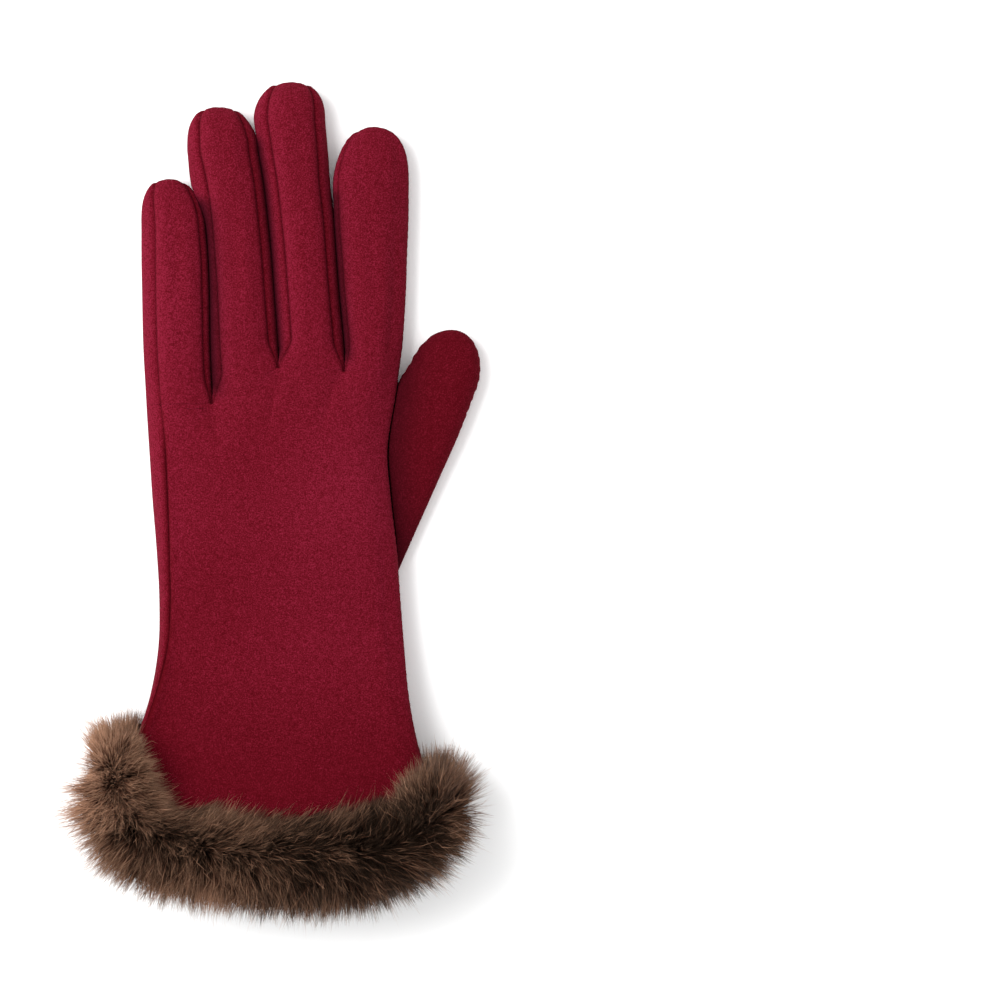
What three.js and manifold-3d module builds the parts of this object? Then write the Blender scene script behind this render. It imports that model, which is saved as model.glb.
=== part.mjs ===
// A dress glove for a left hand, lying palm down: faux suede panels and a deep faux fur cuff.
// Millimetres. +Z is up, +Y runs from the cuff to the fingertips and +X points to the thumb's side.
// The origin is on the table, under the middle of the glove.
import * as THREE from "three";
import { mergeVertices } from "three/addons/utils/BufferGeometryUtils.js";
import Module from "manifold-3d";

// Driving dimensions
const wall = 1.5; // faux suede with its brushed backing
const seamGap = 0.3; // between two panels along a seam
const maxMitre = 2; // at a sharp corner of a panel the gap may grow to this many times its width
const fitGap = 0.35; // between the shell and what is sewn onto it
const weldSteps = 200; // for each millimetre: corners that round to the same step are one
const columnsPerFinger = 4;
const sideColumns = 4; // across the side of a finger, from its upper seam to its lower one
const bodyRowCount = 10;
const fingerRowCount = 7; // along a finger's straight part
const tipRowCount = 4; // round a fingertip
const rowCrowding = 1.5; // a finger's rows lie closer together towards the web
const tipCrowding = 1.3; // and its tip's rows further apart towards the end
const bodyCrowding = 1.3; // the body's rows lie closer together towards the knuckles

// The body, from the knuckles to the cuff. left and right are its edges seen from above. under, edge and
// top are heights over the table. seamIn is how far the outer seam lies in from the left edge.
const bodyTable = [
  { y: 42, left: -39.5, right: 38.1, under: 0, edge: 6.8, top: 13.6, seamIn: 4.6 },
  { y: 30, left: -38.7, right: 36.5, under: 0, edge: 8.2, top: 15.4, seamIn: 4.8 },
  { y: 15, left: -37.6, right: 34.2, under: 0, edge: 9.4, top: 16.8, seamIn: 4.9 },
  { y: 0, left: -36.6, right: 35.2, under: 0, edge: 9.4, top: 17.0, seamIn: 4.7 },
  { y: -15, left: -35.4, right: 36.9, under: 0, edge: 8.8, top: 16.6, seamIn: 3.6 },
  { y: -30, left: -34.6, right: 38.0, under: 0, edge: 8.2, top: 16.2, seamIn: 2.6 },
  { y: -45, left: -34.8, right: 39.2, under: 1.5, edge: 9.4, top: 17.4, seamIn: 1.9 },
  { y: -60, left: -37.2, right: 40.7, under: 4.4, edge: 12.4, top: 20.4, seamIn: 1.4 },
  { y: -75, left: -42.0, right: 43.8, under: 7.6, edge: 15.6, top: 24.0, seamIn: 1.2 },
  { y: -90, left: -47.0, right: 48.8, under: 9.6, edge: 18.2, top: 27.0, seamIn: 1.2 },
];
const bodyCrown = { sideRise: 0.62, sideDrop: 0.7, fullness: 2.6, flatness: 3.4, flatOver: 1.25 };
const rightRounding = 5; // the right edge is a fold, this far in from the edge to where the top begins
const knuckleReach = 0.2; // share of the body over which the knuckles fade out

// The hem is an arc that hangs back between its ends at the two sides. clear is how far past its edge the
// fur stays off it. sideCrowding draws its columns together at the sides, and fades over 1 / crowdingFade.
const hem = { leftY: -78, rightY: -90, topSag: 23.2, underSag: 17, clear: 1.7 };
const hemFullness = { left: 8, right: 4.2, sharpness: 0.55 };
const hemColumns = { sideCrowding: 0.7, crowdingFade: 1.6 };

// The fingers from the little finger to the index finger. Their rows give the two edges seen from above.
const fingers = [
  {
    name: "little",
    tip: { x: -31.9, y: 96.6, round: 16 },
    seamIn: { left: 4.2, right: 1.6 },
    heights: { under: 0, edge: 5.4, top: 11.2 },
    rows: [
      { y: 28.5, left: -38.6, right: -18.5 },
      { y: 45, left: -39.6, right: -19.9 },
      { y: 62, left: -40.0, right: -20.6 },
      { y: 74, left: -40.2, right: -21.0 },
      { y: 84, left: -40.2, right: -21.4 },
    ],
  },
  {
    name: "ring",
    tip: { x: -16.9, y: 118.2, round: 13.5 },
    seamIn: { left: 3.8, right: 2.4 },
    heights: { under: 0, edge: 5.6, top: 12.2 },
    rows: [
      { y: 28.5, left: -18.5, right: 1.3 },
      { y: 45, left: -19.4, right: 0.7 },
      { y: 62, left: -20.1, right: -0.5 },
      { y: 74, left: -20.5, right: -1.4 },
      { y: 84, left: -21.2, right: -2.4 },
      { y: 95, left: -25.0, right: -3.7 },
      { y: 104, left: -26.1, right: -5.2 },
    ],
  },
  {
    name: "middle",
    tip: { x: 4.9, y: 125.6, round: 11.5 },
    seamIn: { left: 4.0, right: 2.7 },
    heights: { under: 0, edge: 5.8, top: 12.6 },
    rows: [
      { y: 39, left: 1.3, right: 21.2 },
      { y: 45, left: 1.2, right: 20.8 },
      { y: 62, left: 0.0, right: 19.2 },
      { y: 74, left: -0.9, right: 18.3 },
      { y: 84, left: -1.9, right: 17.6 },
      { y: 95, left: -3.2, right: 16.5 },
      { y: 104, left: -4.7, right: 15.9 },
      { y: 113, left: -6.0, right: 15.1 },
    ],
  },
  {
    name: "index",
    tip: { x: 30.1, y: 112.3, round: 18.5 },
    seamIn: { left: 1.3, right: 4.0 },
    heights: { under: 0, edge: 5.6, top: 12.0 },
    rows: [
      { y: 38.4, left: 21.2, right: 37.7 },
      { y: 45, left: 21.2, right: 38.5 },
      { y: 62, left: 19.6, right: 39.6 },
      { y: 74, left: 18.7, right: 40.0 },
      { y: 84, left: 18.0, right: 40.4 },
      { y: 95, left: 17.6, right: 40.5 },
    ],
  },
];
const fingerCrown = { sideRise: 0.62, sideDrop: 0.7, fullness: 2.3, flatness: 3.2, flatOver: 1.3 };
const crotches = [
  { x: -18.5, y: 28.5 },
  { x: 1.3, y: 39.6 },
  { x: 21.2, y: 38.4 },
];
const knuckleEnds = { leftY: 28.5, rightY: 38.4 };
const knuckle = { under: 0, edge: 6.6, top: 13.4 };
const webBulge = 1.6; // how far the web between two fingers stands forward at mid height
const forkLength = 11; // over which the two seams of a fourchette part, up from the web
const tipSquareness = 2.25; // 2 would round the fingertips like an ellipse
const tipLineShare = 0.36; // width of the short seam across a fingertip, as a share of the finger's
const tipBow = 0.3; // how far the rows before that seam bow with it

// The thumb, a tube that leans out from the palm. y is the distance along it, middle and half are its
// middle line and half width across it, and edge and top are heights over the table.
const thumbTable = [
  { y: -8, middle: 29.6, half: 13.2, edge: 4.0, top: 7.6 },
  { y: 4, middle: 29.3, half: 13.4, edge: 4.0, top: 7.8 },
  { y: 16, middle: 29.4, half: 13.3, edge: 4.1, top: 8.2 },
  { y: 28, middle: 29.9, half: 12.8, edge: 4.3, top: 9.0 },
  { y: 40, middle: 30.6, half: 12.1, edge: 4.6, top: 9.8 },
  { y: 54, middle: 31.3, half: 10.7, edge: 4.7, top: 10.0 },
];
const thumb = {
  wall: 1.6,
  lean: 24, // degrees
  tip: 68.9,
  round: 14.9,
  tipMiddle: 30.9,
  squareness: 2.4,
  flatUnder: 1.15, // the underside is flattened where it rests
  tipFall: 0.8, // how soon the thumb grows thin round its tip
  lastRing: 0.93, // share of the quarter turn round the tip, where the flat cap closes it
  rows: 6,
  tipRows: 4,
  around: 14,
};

// The fur: a roll round the hem whose face stands up in locks. depth is how far the roll stands out from
// the shell and reach how far it lies over the shell, by the side of the cuff that it is on.
const fur = {
  depth: { top: 9.4, left: 15, right: 9.2, under: 7.4 },
  reach: { topLeft: 6.5, topRight: 13, left: 11, right: 9.5, under: 11 },
  rings: 104,
  even: 3, // rings to either side that a ring's direction is evened out over
  lockRows: 7,
  lockLength: 6.4,
  shortest: 0.7, // of the locks, as a share of lockLength
  longest: 1.1,
  valley: 0.9, // how deep the face sinks between the locks
  comb: 0.7, // how far the locks lean towards the free edge
  scatter: 0.45,
};
// Outline of the roll. along runs from the hem towards the fingers as a share of the reach, or below nought
// from the hem towards the free edge in millimetres. out is a share of the depth.
const furFace = [
  { along: 1, out: 0.02 },
  { along: 0.9, out: 0.5 },
  { along: 0.5, out: 0.88 },
  { along: 0, out: 1.0 },
  { along: -6.5, out: 0.86 },
  { along: -11, out: 0.42 },
  { along: -11.5, out: -0.08 },
];
const furInside = [
  { along: -8.5, out: -0.28 },
  { along: -5, out: -0.3 },
  { along: -2.4, out: -0.1 },
  { along: 0.5, out: -0.1 },
];

const mix = (a, b, t) => a + (b - a) * t;
const clamp01 = (t) => Math.min(1, Math.max(0, t));
const smooth = (t) => clamp01(t) ** 2 * (3 - 2 * clamp01(t));

// A column of a table at y, on a smooth curve through its rows.
function lookUp(rows, column, y) {
  const sorted = [...rows].sort((a, b) => a.y - b.y);
  const last = sorted.length - 1;
  let i = sorted.findIndex((row) => row.y > y) - 1;
  if (i === -2) i = last - 1;
  i = Math.max(0, i);
  const slopeAt = (k) => {
    const before = sorted[Math.max(0, k - 1)];
    const after = sorted[Math.min(last, k + 1)];
    return (after[column] - before[column]) / (after.y - before.y);
  };
  const from = sorted[i];
  const to = sorted[i + 1];
  const span = to.y - from.y;
  const t = (y - from.y) / span;
  if (t < 0) return from[column] + slopeAt(i) * (y - from.y);
  if (t > 1) return to[column] + slopeAt(i + 1) * (y - to.y);
  const bend = t * t * (3 - 2 * t);
  return (
    mix(from[column], to[column], bend) +
    span * (t * (1 - t) ** 2 * slopeAt(i) - t * t * (1 - t) * slopeAt(i + 1))
  );
}

// Height of a top surface and of an underside, across from 0 at one seam to 1 at the other.
function crownTop(low, high, across, crown) {
  return mix(low, high, 1 - Math.abs(2 * across - 1) ** crown.fullness);
}
function crownUnder(high, low, across, crown) {
  const drop = crown.flatOver * (1 - Math.abs(2 * across - 1) ** crown.flatness);
  return mix(high, low, Math.min(1, drop));
}

// Both edges of a finger at y, closing on an ellipse round its tip.
function fingerEdges(finger, y) {
  const roundFrom = finger.tip.y - finger.tip.round;
  const level = Math.min(y, roundFrom);
  const left = lookUp(finger.rows, "left", level);
  const right = lookUp(finger.rows, "right", level);
  const into = clamp01((y - roundFrom) / finger.tip.round);
  const centre = mix((left + right) / 2, finger.tip.x, smooth(into));
  const half = ((right - left) / 2) * (1 - into ** tipSquareness) ** (1 / tipSquareness);
  return { left: centre - half, right: centre + half };
}

// Rows of a finger, from the knuckles to the tip. Each has its two end points seen from above, how far its
// middle runs ahead of them, and the share of its full thickness that the finger has there.
function fingerRows(finger, startLeft, startRight) {
  const roundFrom = finger.tip.y - finger.tip.round;
  const lastAngle = Math.acos(tipLineShare);
  const rows = [];
  for (let r = 0; r <= fingerRowCount + tipRowCount; r++) {
    const straight = clamp01(r / fingerRowCount) ** rowCrowding;
    const round = clamp01((r - fingerRowCount) / tipRowCount) ** tipCrowding;
    const tipY = roundFrom + finger.tip.round * Math.sin(round * lastAngle) ** (2 / tipSquareness);
    const leftY = round > 0 ? tipY : mix(startLeft, roundFrom, straight);
    const rightY = round > 0 ? tipY : mix(startRight, roundFrom, straight);
    rows.push({
      left: { x: fingerEdges(finger, leftY).left, y: leftY },
      right: { x: fingerEdges(finger, rightY).right, y: rightY },
      ahead: (finger.tip.y - tipY) * round ** 2 * (round < 1 ? tipBow : 1),
      thick: Math.cos((round * Math.PI) / 2),
      climb: Math.min(leftY - startLeft, rightY - startRight),
    });
  }
  return rows;
}

// One row of a finger as points: across the top, across the underside and down both sides.
function fingerSection(finger, row, forked) {
  const grown = smooth(row.climb / forkLength);
  const heightOf = (name) => mix(knuckle[name], finger.heights[name], grown);
  const [under, edge, top] = ["under", "edge", "top"].map(heightOf);
  const highTop = edge + (top - edge) * row.thick;
  const lowUnder = edge - (edge - under) * row.thick;
  const seamTop = mix(edge, highTop, fingerCrown.sideRise);
  const seamUnder = mix(edge, lowUnder, fingerCrown.sideDrop);
  const inLeft = finger.seamIn.left * row.thick * (forked.left ? grown : 1);
  const inRight = finger.seamIn.right * row.thick * (forked.right ? grown : 1);
  const seamPoint = (across) => {
    const x = mix(row.left.x + inLeft, row.right.x - inRight, across);
    const y = mix(row.left.y, row.right.y, across) + row.ahead * (1 - (2 * across - 1) ** 2);
    return { x, y };
  };
  const topRow = [];
  const underRow = [];
  for (let c = 0; c <= columnsPerFinger; c++) {
    const across = c / columnsPerFinger;
    const { x, y } = seamPoint(across);
    topRow.push(new THREE.Vector3(x, y, crownTop(seamTop, highTop, across, fingerCrown)));
    underRow.push(new THREE.Vector3(x, y, crownUnder(seamUnder, lowUnder, across, fingerCrown)));
  }
  const side = (edgeX, y, inset, fork) => {
    const points = [];
    for (let k = 0; k <= sideColumns; k++) {
      const down = k / sideColumns;
      const bulge = 1 - (2 * down - 1) ** 2;
      const x = edgeX + inset * (1 - bulge);
      const forward = fork ? webBulge * (1 - grown) * bulge : 0;
      points.push(new THREE.Vector3(x, y + forward, mix(seamTop, seamUnder, down)));
    }
    return points;
  };
  return {
    top: topRow,
    under: underRow,
    left: side(row.left.x, row.left.y, inLeft, forked.left),
    right: side(row.right.x, row.right.y, -inRight, forked.right),
  };
}

// The knuckle row, where the body ends and the fingers begin.
const startPoints = [
  { x: lookUp(bodyTable, "left", knuckleEnds.leftY), y: knuckleEnds.leftY },
  ...crotches,
  { x: lookUp(bodyTable, "right", knuckleEnds.rightY), y: knuckleEnds.rightY },
];
const fingerGrids = fingers.map((finger, index) => {
  const forked = { left: index > 0, right: index < fingers.length - 1 };
  const rows = fingerRows(finger, startPoints[index].y, startPoints[index + 1].y);
  rows[0].left = startPoints[index];
  rows[0].right = startPoints[index + 1];
  return rows.map((row) => fingerSection(finger, row, forked));
});
const lastFinger = fingers.length - 1;
function knucklePoint(sheet, across) {
  if (sheet === "left") return samplePolyline(fingerGrids[0][0].left, across);
  if (sheet === "right") return samplePolyline(fingerGrids[lastFinger][0].right, across);
  const index = Math.min(Math.floor(across * fingers.length), lastFinger);
  return samplePolyline(fingerGrids[index][0][sheet], across * fingers.length - index);
}
function samplePolyline(points, t) {
  const at = clamp01(t) * (points.length - 1);
  const i = Math.min(Math.floor(at), points.length - 2);
  return points[i].clone().lerp(points[i + 1], at - i);
}

// The edges and heights of the body in one row. along runs from the hem, at 0, to the knuckles, at 1.
function bodyRow(along) {
  const leftY = mix(hem.leftY, knuckleEnds.leftY, along);
  const rightY = mix(hem.rightY, knuckleEnds.rightY, along);
  const middleY = (leftY + rightY) / 2;
  const at = (column, y) => lookUp(bodyTable, column, y);
  const edge = at("edge", middleY);
  const top = at("top", middleY);
  const under = Math.max(0, at("under", middleY));
  return {
    leftY,
    rightY,
    left: at("left", leftY),
    right: at("right", rightY),
    seamIn: at("seamIn", leftY),
    top,
    under,
    seamTop: mix(edge, top, bodyCrown.sideRise),
    seamUnder: mix(edge, under, bodyCrown.sideDrop),
  };
}
// A point of the body. sheet is top, under, left or right, and across runs over that sheet.
function bodyPoint(sheet, across, along) {
  const row = bodyRow(along);
  const point = new THREE.Vector3();
  if (sheet === "left" || sheet === "right") {
    const bulge = 1 - (2 * across - 1) ** 2;
    const inset = (sheet === "left" ? row.seamIn : -rightRounding) * (1 - bulge);
    const y = sheet === "left" ? row.leftY : row.rightY;
    point.set(row[sheet] + inset, y, mix(row.seamTop, row.seamUnder, across));
  } else {
    const crowded = (1 - Math.cos(Math.PI * across)) / 2;
    const atHem = mix(across, crowded, hemColumns.sideCrowding);
    const share = mix(atHem, across, smooth(along * hemColumns.crowdingFade));
    const sag = (sheet === "top" ? hem.topSag : hem.underSag) * (1 - along) ** 3;
    const x = mix(row.left + row.seamIn, row.right - rightRounding, share);
    const fullness = share < 0.5 ? hemFullness.left : hemFullness.right;
    const arc = Math.max(0, 1 - Math.abs(2 * share - 1) ** fullness) ** hemFullness.sharpness;
    const y = mix(row.leftY, row.rightY, share) - sag * arc;
    const z =
      sheet === "top"
        ? crownTop(row.seamTop, row.top, share, bodyCrown)
        : crownUnder(row.seamUnder, row.under, share, bodyCrown);
    point.set(x, y, z);
  }
  const near = smooth((along - 1 + knuckleReach) / knuckleReach);
  return point.lerp(knucklePoint(sheet, across), near * near);
}
function bodyGrid(sheet, columns) {
  const grid = [];
  for (let j = 0; j <= bodyRowCount; j++) {
    const row = [];
    const along = 1 - (1 - j / bodyRowCount) ** bodyCrowding;
    for (let i = 0; i <= columns; i++) row.push(bodyPoint(sheet, i / columns, along));
    grid.push(row);
  }
  return grid;
}

// The whole outer surface as grids of points, sorted by panel. A grid faces outwards when its corners run
// anticlockwise, and a turned one when they run clockwise.
const topColumns = columnsPerFinger * fingers.length;
const bodyTop = bodyGrid("top", topColumns);
const bodyUnder = bodyGrid("under", topColumns);
const bodyRight = bodyGrid("right", sideColumns);
const bodyLeft = bodyGrid("left", sideColumns);
const strip = (index, side) => fingerGrids[index].map((section) => section[side]);
const upperHalf = (grid) => grid.map((row) => row.slice(0, sideColumns / 2 + 1));
const lowerHalf = (grid) => grid.map((row) => row.slice(sideColumns / 2));
const patches = {
  back_panel: [
    { grid: bodyTop },
    ...fingers.map((_, index) => ({ grid: strip(index, "top") })),
    { grid: upperHalf(bodyRight) },
    { grid: upperHalf(strip(lastFinger, "right")) },
  ],
  palm_panel: [
    { grid: bodyUnder, turned: true },
    ...fingers.map((_, index) => ({ grid: strip(index, "under"), turned: true })),
    { grid: bodyLeft, turned: true },
    { grid: strip(0, "left"), turned: true },
    { grid: lowerHalf(bodyRight) },
    { grid: lowerHalf(strip(lastFinger, "right")) },
  ],
};
const fourchettes = ["little_ring", "ring_middle", "middle_index"];
fourchettes.forEach((pair, index) => {
  patches[`fourchette_${pair}`] = [
    { grid: strip(index, "right") },
    { grid: strip(index + 1, "left"), turned: true },
  ];
});

// Grids joined into one surface: shared corners become one vertex, and each cell two triangles.
const vertices = [];
const vertexByPlace = new Map();
function vertexAt(point) {
  const key = point.toArray().map((v) => Math.round(v * weldSteps)).join();
  if (!vertexByPlace.has(key)) {
    vertexByPlace.set(key, vertices.length);
    vertices.push(point.clone());
  }
  return vertexByPlace.get(key);
}
function trianglesOf({ grid, turned }) {
  const triangles = [];
  for (let j = 0; j + 1 < grid.length; j++) {
    for (let i = 0; i + 1 < grid[j].length; i++) {
      const corners = [grid[j][i], grid[j][i + 1], grid[j + 1][i + 1], grid[j + 1][i]];
      const [a, b, c, d] = corners.map(vertexAt);
      for (const [p, q, r] of [[a, b, c], [a, c, d]]) {
        if (p !== q && q !== r && r !== p) triangles.push(turned ? [r, q, p] : [p, q, r]);
      }
    }
  }
  return triangles;
}
const panelTriangles = Object.fromEntries(
  Object.entries(patches).map(([name, list]) => [name, list.flatMap(trianglesOf)]),
);
const shellTriangles = Object.values(panelTriangles).flat();
const normals = vertices.map(() => new THREE.Vector3());
for (const [a, b, c] of shellTriangles) {
  const face = new THREE.Vector3()
    .subVectors(vertices[b], vertices[a])
    .cross(new THREE.Vector3().subVectors(vertices[c], vertices[a]));
  for (const v of [a, b, c]) normals[v].add(face);
}
for (const normal of normals) normal.normalize();

// The edges that only one of the triangles uses, in that triangle's direction.
function openEdges(triangles) {
  const used = new Set(triangles.flatMap(([a, b, c]) => [`${a},${b}`, `${b},${c}`, `${c},${a}`]));
  return triangles
    .flatMap(([a, b, c]) => [[a, b], [b, c], [c, a]])
    .filter(([a, b]) => !used.has(`${b},${a}`));
}

// A panel with its thickness: its outside, its inside and a rim, drawn in from its seams by half the
// seam gap.
function panelGeometry(triangles) {
  const edges = openEdges(triangles);
  const inward = new Map();
  for (const [from, to] of edges) {
    const direction = new THREE.Vector3().subVectors(vertices[to], vertices[from]).normalize();
    for (const v of [from, to]) {
      const across = new THREE.Vector3().crossVectors(normals[v], direction).normalize();
      inward.set(v, [...(inward.get(v) || []), across]);
    }
  }
  const ids = [...new Set(triangles.flat())];
  const place = new Map(ids.map((v, i) => [v, i]));
  const outside = ids.map((v) => {
    const point = vertices[v].clone();
    if (!inward.has(v)) return point;
    const [one, other] = inward.get(v);
    const pull = one.clone().add(other);
    const mitre = Math.min(1 / Math.max(pull.length() / 2, 0.1), maxMitre);
    return point.addScaledVector(pull.normalize(), (seamGap / 2) * mitre);
  });
  const inside = outside.map((point, i) => point.clone().addScaledVector(normals[ids[i]], -wall));
  const index = [];
  for (const triangle of triangles) {
    const [a, b, c] = triangle.map((v) => place.get(v));
    index.push(a, b, c, c + ids.length, b + ids.length, a + ids.length);
  }
  for (const [from, to] of edges) {
    const [a, b] = [place.get(from), place.get(to)];
    const [insideA, insideB] = [a + ids.length, b + ids.length];
    // Both panels at a seam split their rims along the same diagonal, so the rims stay parallel.
    if (from < to) {
      index.push(b, a, insideA, b, insideA, insideB);
    } else {
      index.push(b, a, insideB, a, insideA, insideB);
    }
  }
  return geometryFrom([...outside, ...inside], index);
}
function geometryFrom(points, index) {
  const geometry = new THREE.BufferGeometry();
  const places = points.flatMap((point) => point.toArray());
  geometry.setAttribute("position", new THREE.Float32BufferAttribute(places, 3));
  geometry.setIndex(index);
  return geometry;
}

// Joins and cuts
const wasm = await Module();
wasm.setup();
function solidOf(geometry) {
  const bare = new THREE.BufferGeometry();
  bare.setAttribute("position", geometry.getAttribute("position"));
  bare.setIndex(geometry.index);
  const merged = mergeVertices(bare, 1e-4);
  return new wasm.Manifold(
    new wasm.Mesh({
      numProp: 3,
      vertProperties: merged.attributes.position.array,
      triVerts: new Uint32Array(merged.index.array),
    }),
  );
}
function geometryOf(solid) {
  const mesh = solid.getMesh();
  const geometry = new THREE.BufferGeometry();
  geometry.setAttribute("position", new THREE.BufferAttribute(mesh.vertProperties, mesh.numProp));
  geometry.setIndex(new THREE.BufferAttribute(mesh.triVerts, 1));
  geometry.computeVertexNormals();
  return geometry;
}

// A skin over rings of points. A loop joins its last ring to its first, and any other is capped.
function ringGeometry(rings, isLoop) {
  const around = rings[0].length;
  const count = rings.length * around;
  const points = rings.flat();
  const index = [];
  for (let j = 0; j + 1 < rings.length + (isLoop ? 1 : 0); j++) {
    for (let i = 0; i < around; i++) {
      const [a, b] = [j * around + i, j * around + ((i + 1) % around)];
      const [c, d] = [(b + around) % count, (a + around) % count];
      index.push(a, b, c, a, c, d);
    }
  }
  for (let i = 1; i + 1 < around && !isLoop; i++) {
    const last = count - around;
    index.push(0, i + 1, i, last, last + i, last + i + 1);
  }
  return geometryFrom(points, index);
}

// The thumb's skin drawn in by inset, from inside the palm to its tip.
function thumbRings(inset) {
  const rings = [];
  const roundFrom = thumb.tip - thumb.round;
  const start = thumbTable[0].y;
  const lean = THREE.MathUtils.degToRad(thumb.lean);
  for (let r = 0; r <= thumb.rows + thumb.tipRows; r++) {
    const round = clamp01((r - thumb.rows) / thumb.tipRows) * thumb.lastRing;
    const swing = (round * Math.PI) / 2;
    const reach = thumb.round - inset;
    const y = round > 0 ? roundFrom + reach * Math.sin(swing) : mix(start, roundFrom, r / thumb.rows);
    const at = (column) => lookUp(thumbTable, column, Math.min(y, roundFrom));
    const middle = mix(at("middle"), thumb.tipMiddle, smooth((y - roundFrom) / thumb.round));
    const half = (at("half") - inset) * Math.cos(swing);
    const [edge, top] = [at("edge"), at("top")];
    const ring = [];
    for (let k = 0; k < thumb.around; k++) {
      const angle = (k / thumb.around) * 2 * Math.PI;
      const [cos, sin] = [Math.cos(angle), Math.sin(angle)].map(
        (v) => Math.sign(v) * Math.abs(v) ** (2 / thumb.squareness),
      );
      const upper = (top - edge - inset) * sin;
      const lower = (edge - inset) * Math.max(-1, sin * thumb.flatUnder);
      const rise = (sin > 0 ? upper : lower) * Math.cos(swing) ** thumb.tipFall;
      const across = middle - half * cos;
      ring.push(
        new THREE.Vector3(
          across * Math.cos(lean) + y * Math.sin(lean),
          -across * Math.sin(lean) + y * Math.cos(lean),
          edge + rise,
        ),
      );
    }
    rings.push(ring);
  }
  return rings;
}

// The hem all the way round: each point with the next one up the shell.
function hemLoop() {
  const pairs = (grid) => grid[0].map((foot, i) => [foot, grid[1][i]]);
  return [
    ...pairs(bodyTop).slice(0, -1),
    ...pairs(bodyRight).slice(0, -1),
    ...pairs(bodyUnder).reverse().slice(0, -1),
    ...pairs(bodyLeft).reverse().slice(0, -1),
  ];
}

// The shell's outer form as a filled solid, grown by the fit gap, with its mouth closed between the hems.
function filledShell() {
  const grown = vertices.map((point, v) => point.clone().addScaledVector(normals[v], fitGap));
  const hems = [bodyTop, bodyRight, bodyUnder, bodyLeft].map((grid) => grid[0].map(vertexAt));
  const [top, right, under, left] = hems;
  for (const [foot, above] of hemLoop()) {
    const back = new THREE.Vector3().subVectors(foot, above).normalize();
    grown[vertexAt(foot)].addScaledVector(back, hem.clear);
  }
  const mouth = [];
  for (let i = 0; i < topColumns; i++) {
    mouth.push([top[i + 1], top[i], under[i]]);
    mouth.push([top[i + 1], under[i], under[i + 1]]);
  }
  for (let k = 1; k < sideColumns; k++) {
    mouth.push([left[0], left[k], left[k + 1]]);
    mouth.push([right[0], right[k + 1], right[k]]);
  }
  return geometryFrom(grown, [...shellTriangles, ...mouth].flat());
}

// A number from 0 to 1 that looks random but is always the same for the same seeds.
function chance(...seeds) {
  const sum = seeds.reduce((total, seed, i) => total + seed * (12.9898 + 65.233 * i), 1.7);
  const value = Math.sin(sum) * 43758.5453;
  return value - Math.floor(value);
}

// The outline of the roll's face, with two steps for each row of locks.
function faceSteps() {
  const count = 2 * fur.lockRows;
  return Array.from({ length: count + 1 }, (_, k) => {
    const at = (k / count) * (furFace.length - 1);
    const i = Math.min(Math.floor(at), furFace.length - 2);
    const [from, to] = [furFace[i], furFace[i + 1]];
    return { along: mix(from.along, to.along, at - i), out: mix(from.out, to.out, at - i) };
  });
}

// A size of the fur in the direction that the cuff faces there: up, down or to a side.
function sizeFacing(out, sizes, top) {
  const facing = { up: Math.max(0, out.z) ** 2, down: Math.min(0, out.z) ** 2, side: out.x ** 2 };
  const total = facing.up + facing.down + facing.side;
  const side = out.x < 0 ? sizes.left : sizes.right;
  return (facing.up * top + facing.down * sizes.under + facing.side * side) / total;
}

// Evenly spaced places round the hem. along leads up the shell, out leads away from it and is as long as
// the roll is deep, and reach is how far the roll lies over the shell.
function hemFrames() {
  const loop = hemLoop();
  const curveOf = (points) => new THREE.CatmullRomCurve3(points, true, "centripetal");
  const feet = curveOf(loop.map(([foot]) => foot));
  const above = curveOf(loop.map(([, next]) => next));
  const [leftX, rightX] = [bodyLeft[0][0].x, bodyRight[0][0].x];
  return Array.from({ length: fur.rings }, (_, i) => {
    const turn = (step) => feet.getUtoTmapping(((i + step + fur.rings) % fur.rings) / fur.rings);
    const foot = feet.getPoint(turn(0));
    const around = feet.getPoint(turn(1)).sub(feet.getPoint(turn(-1))).normalize();
    const out = around.clone().cross(above.getPoint(turn(0)).sub(foot)).normalize();
    const along = out.clone().cross(around);
    const share = clamp01((foot.x - leftX) / (rightX - leftX));
    const reach = sizeFacing(out, fur.reach, mix(fur.reach.topLeft, fur.reach.topRight, share));
    const depth = sizeFacing(out, fur.depth, fur.depth.top);
    return { foot, along, reach, out: out.multiplyScalar(depth) };
  });
}

// The roll without its locks: rings across it, evened out with their neighbours.
function rollRings() {
  const frames = hemFrames();
  const steps = [...faceSteps(), ...furInside];
  return frames.map(({ foot }, i) => {
    const near = Array.from({ length: 2 * fur.even + 1 }, (_, n) => {
      return frames[(i + n - fur.even + fur.rings) % fur.rings];
    });
    const share = 1 / near.length;
    const average = (key) => {
      return near.reduce((sum, frame) => sum.addScaledVector(frame[key], share), new THREE.Vector3());
    };
    const along = average("along").normalize();
    const out = average("out");
    const reach = near.reduce((sum, frame) => sum + frame.reach * share, 0);
    return steps.map((step) =>
      foot
        .clone()
        .addScaledVector(along, step.along * (step.along > 0 ? reach : 1))
        .addScaledVector(out, step.out),
    );
  });
}

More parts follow.
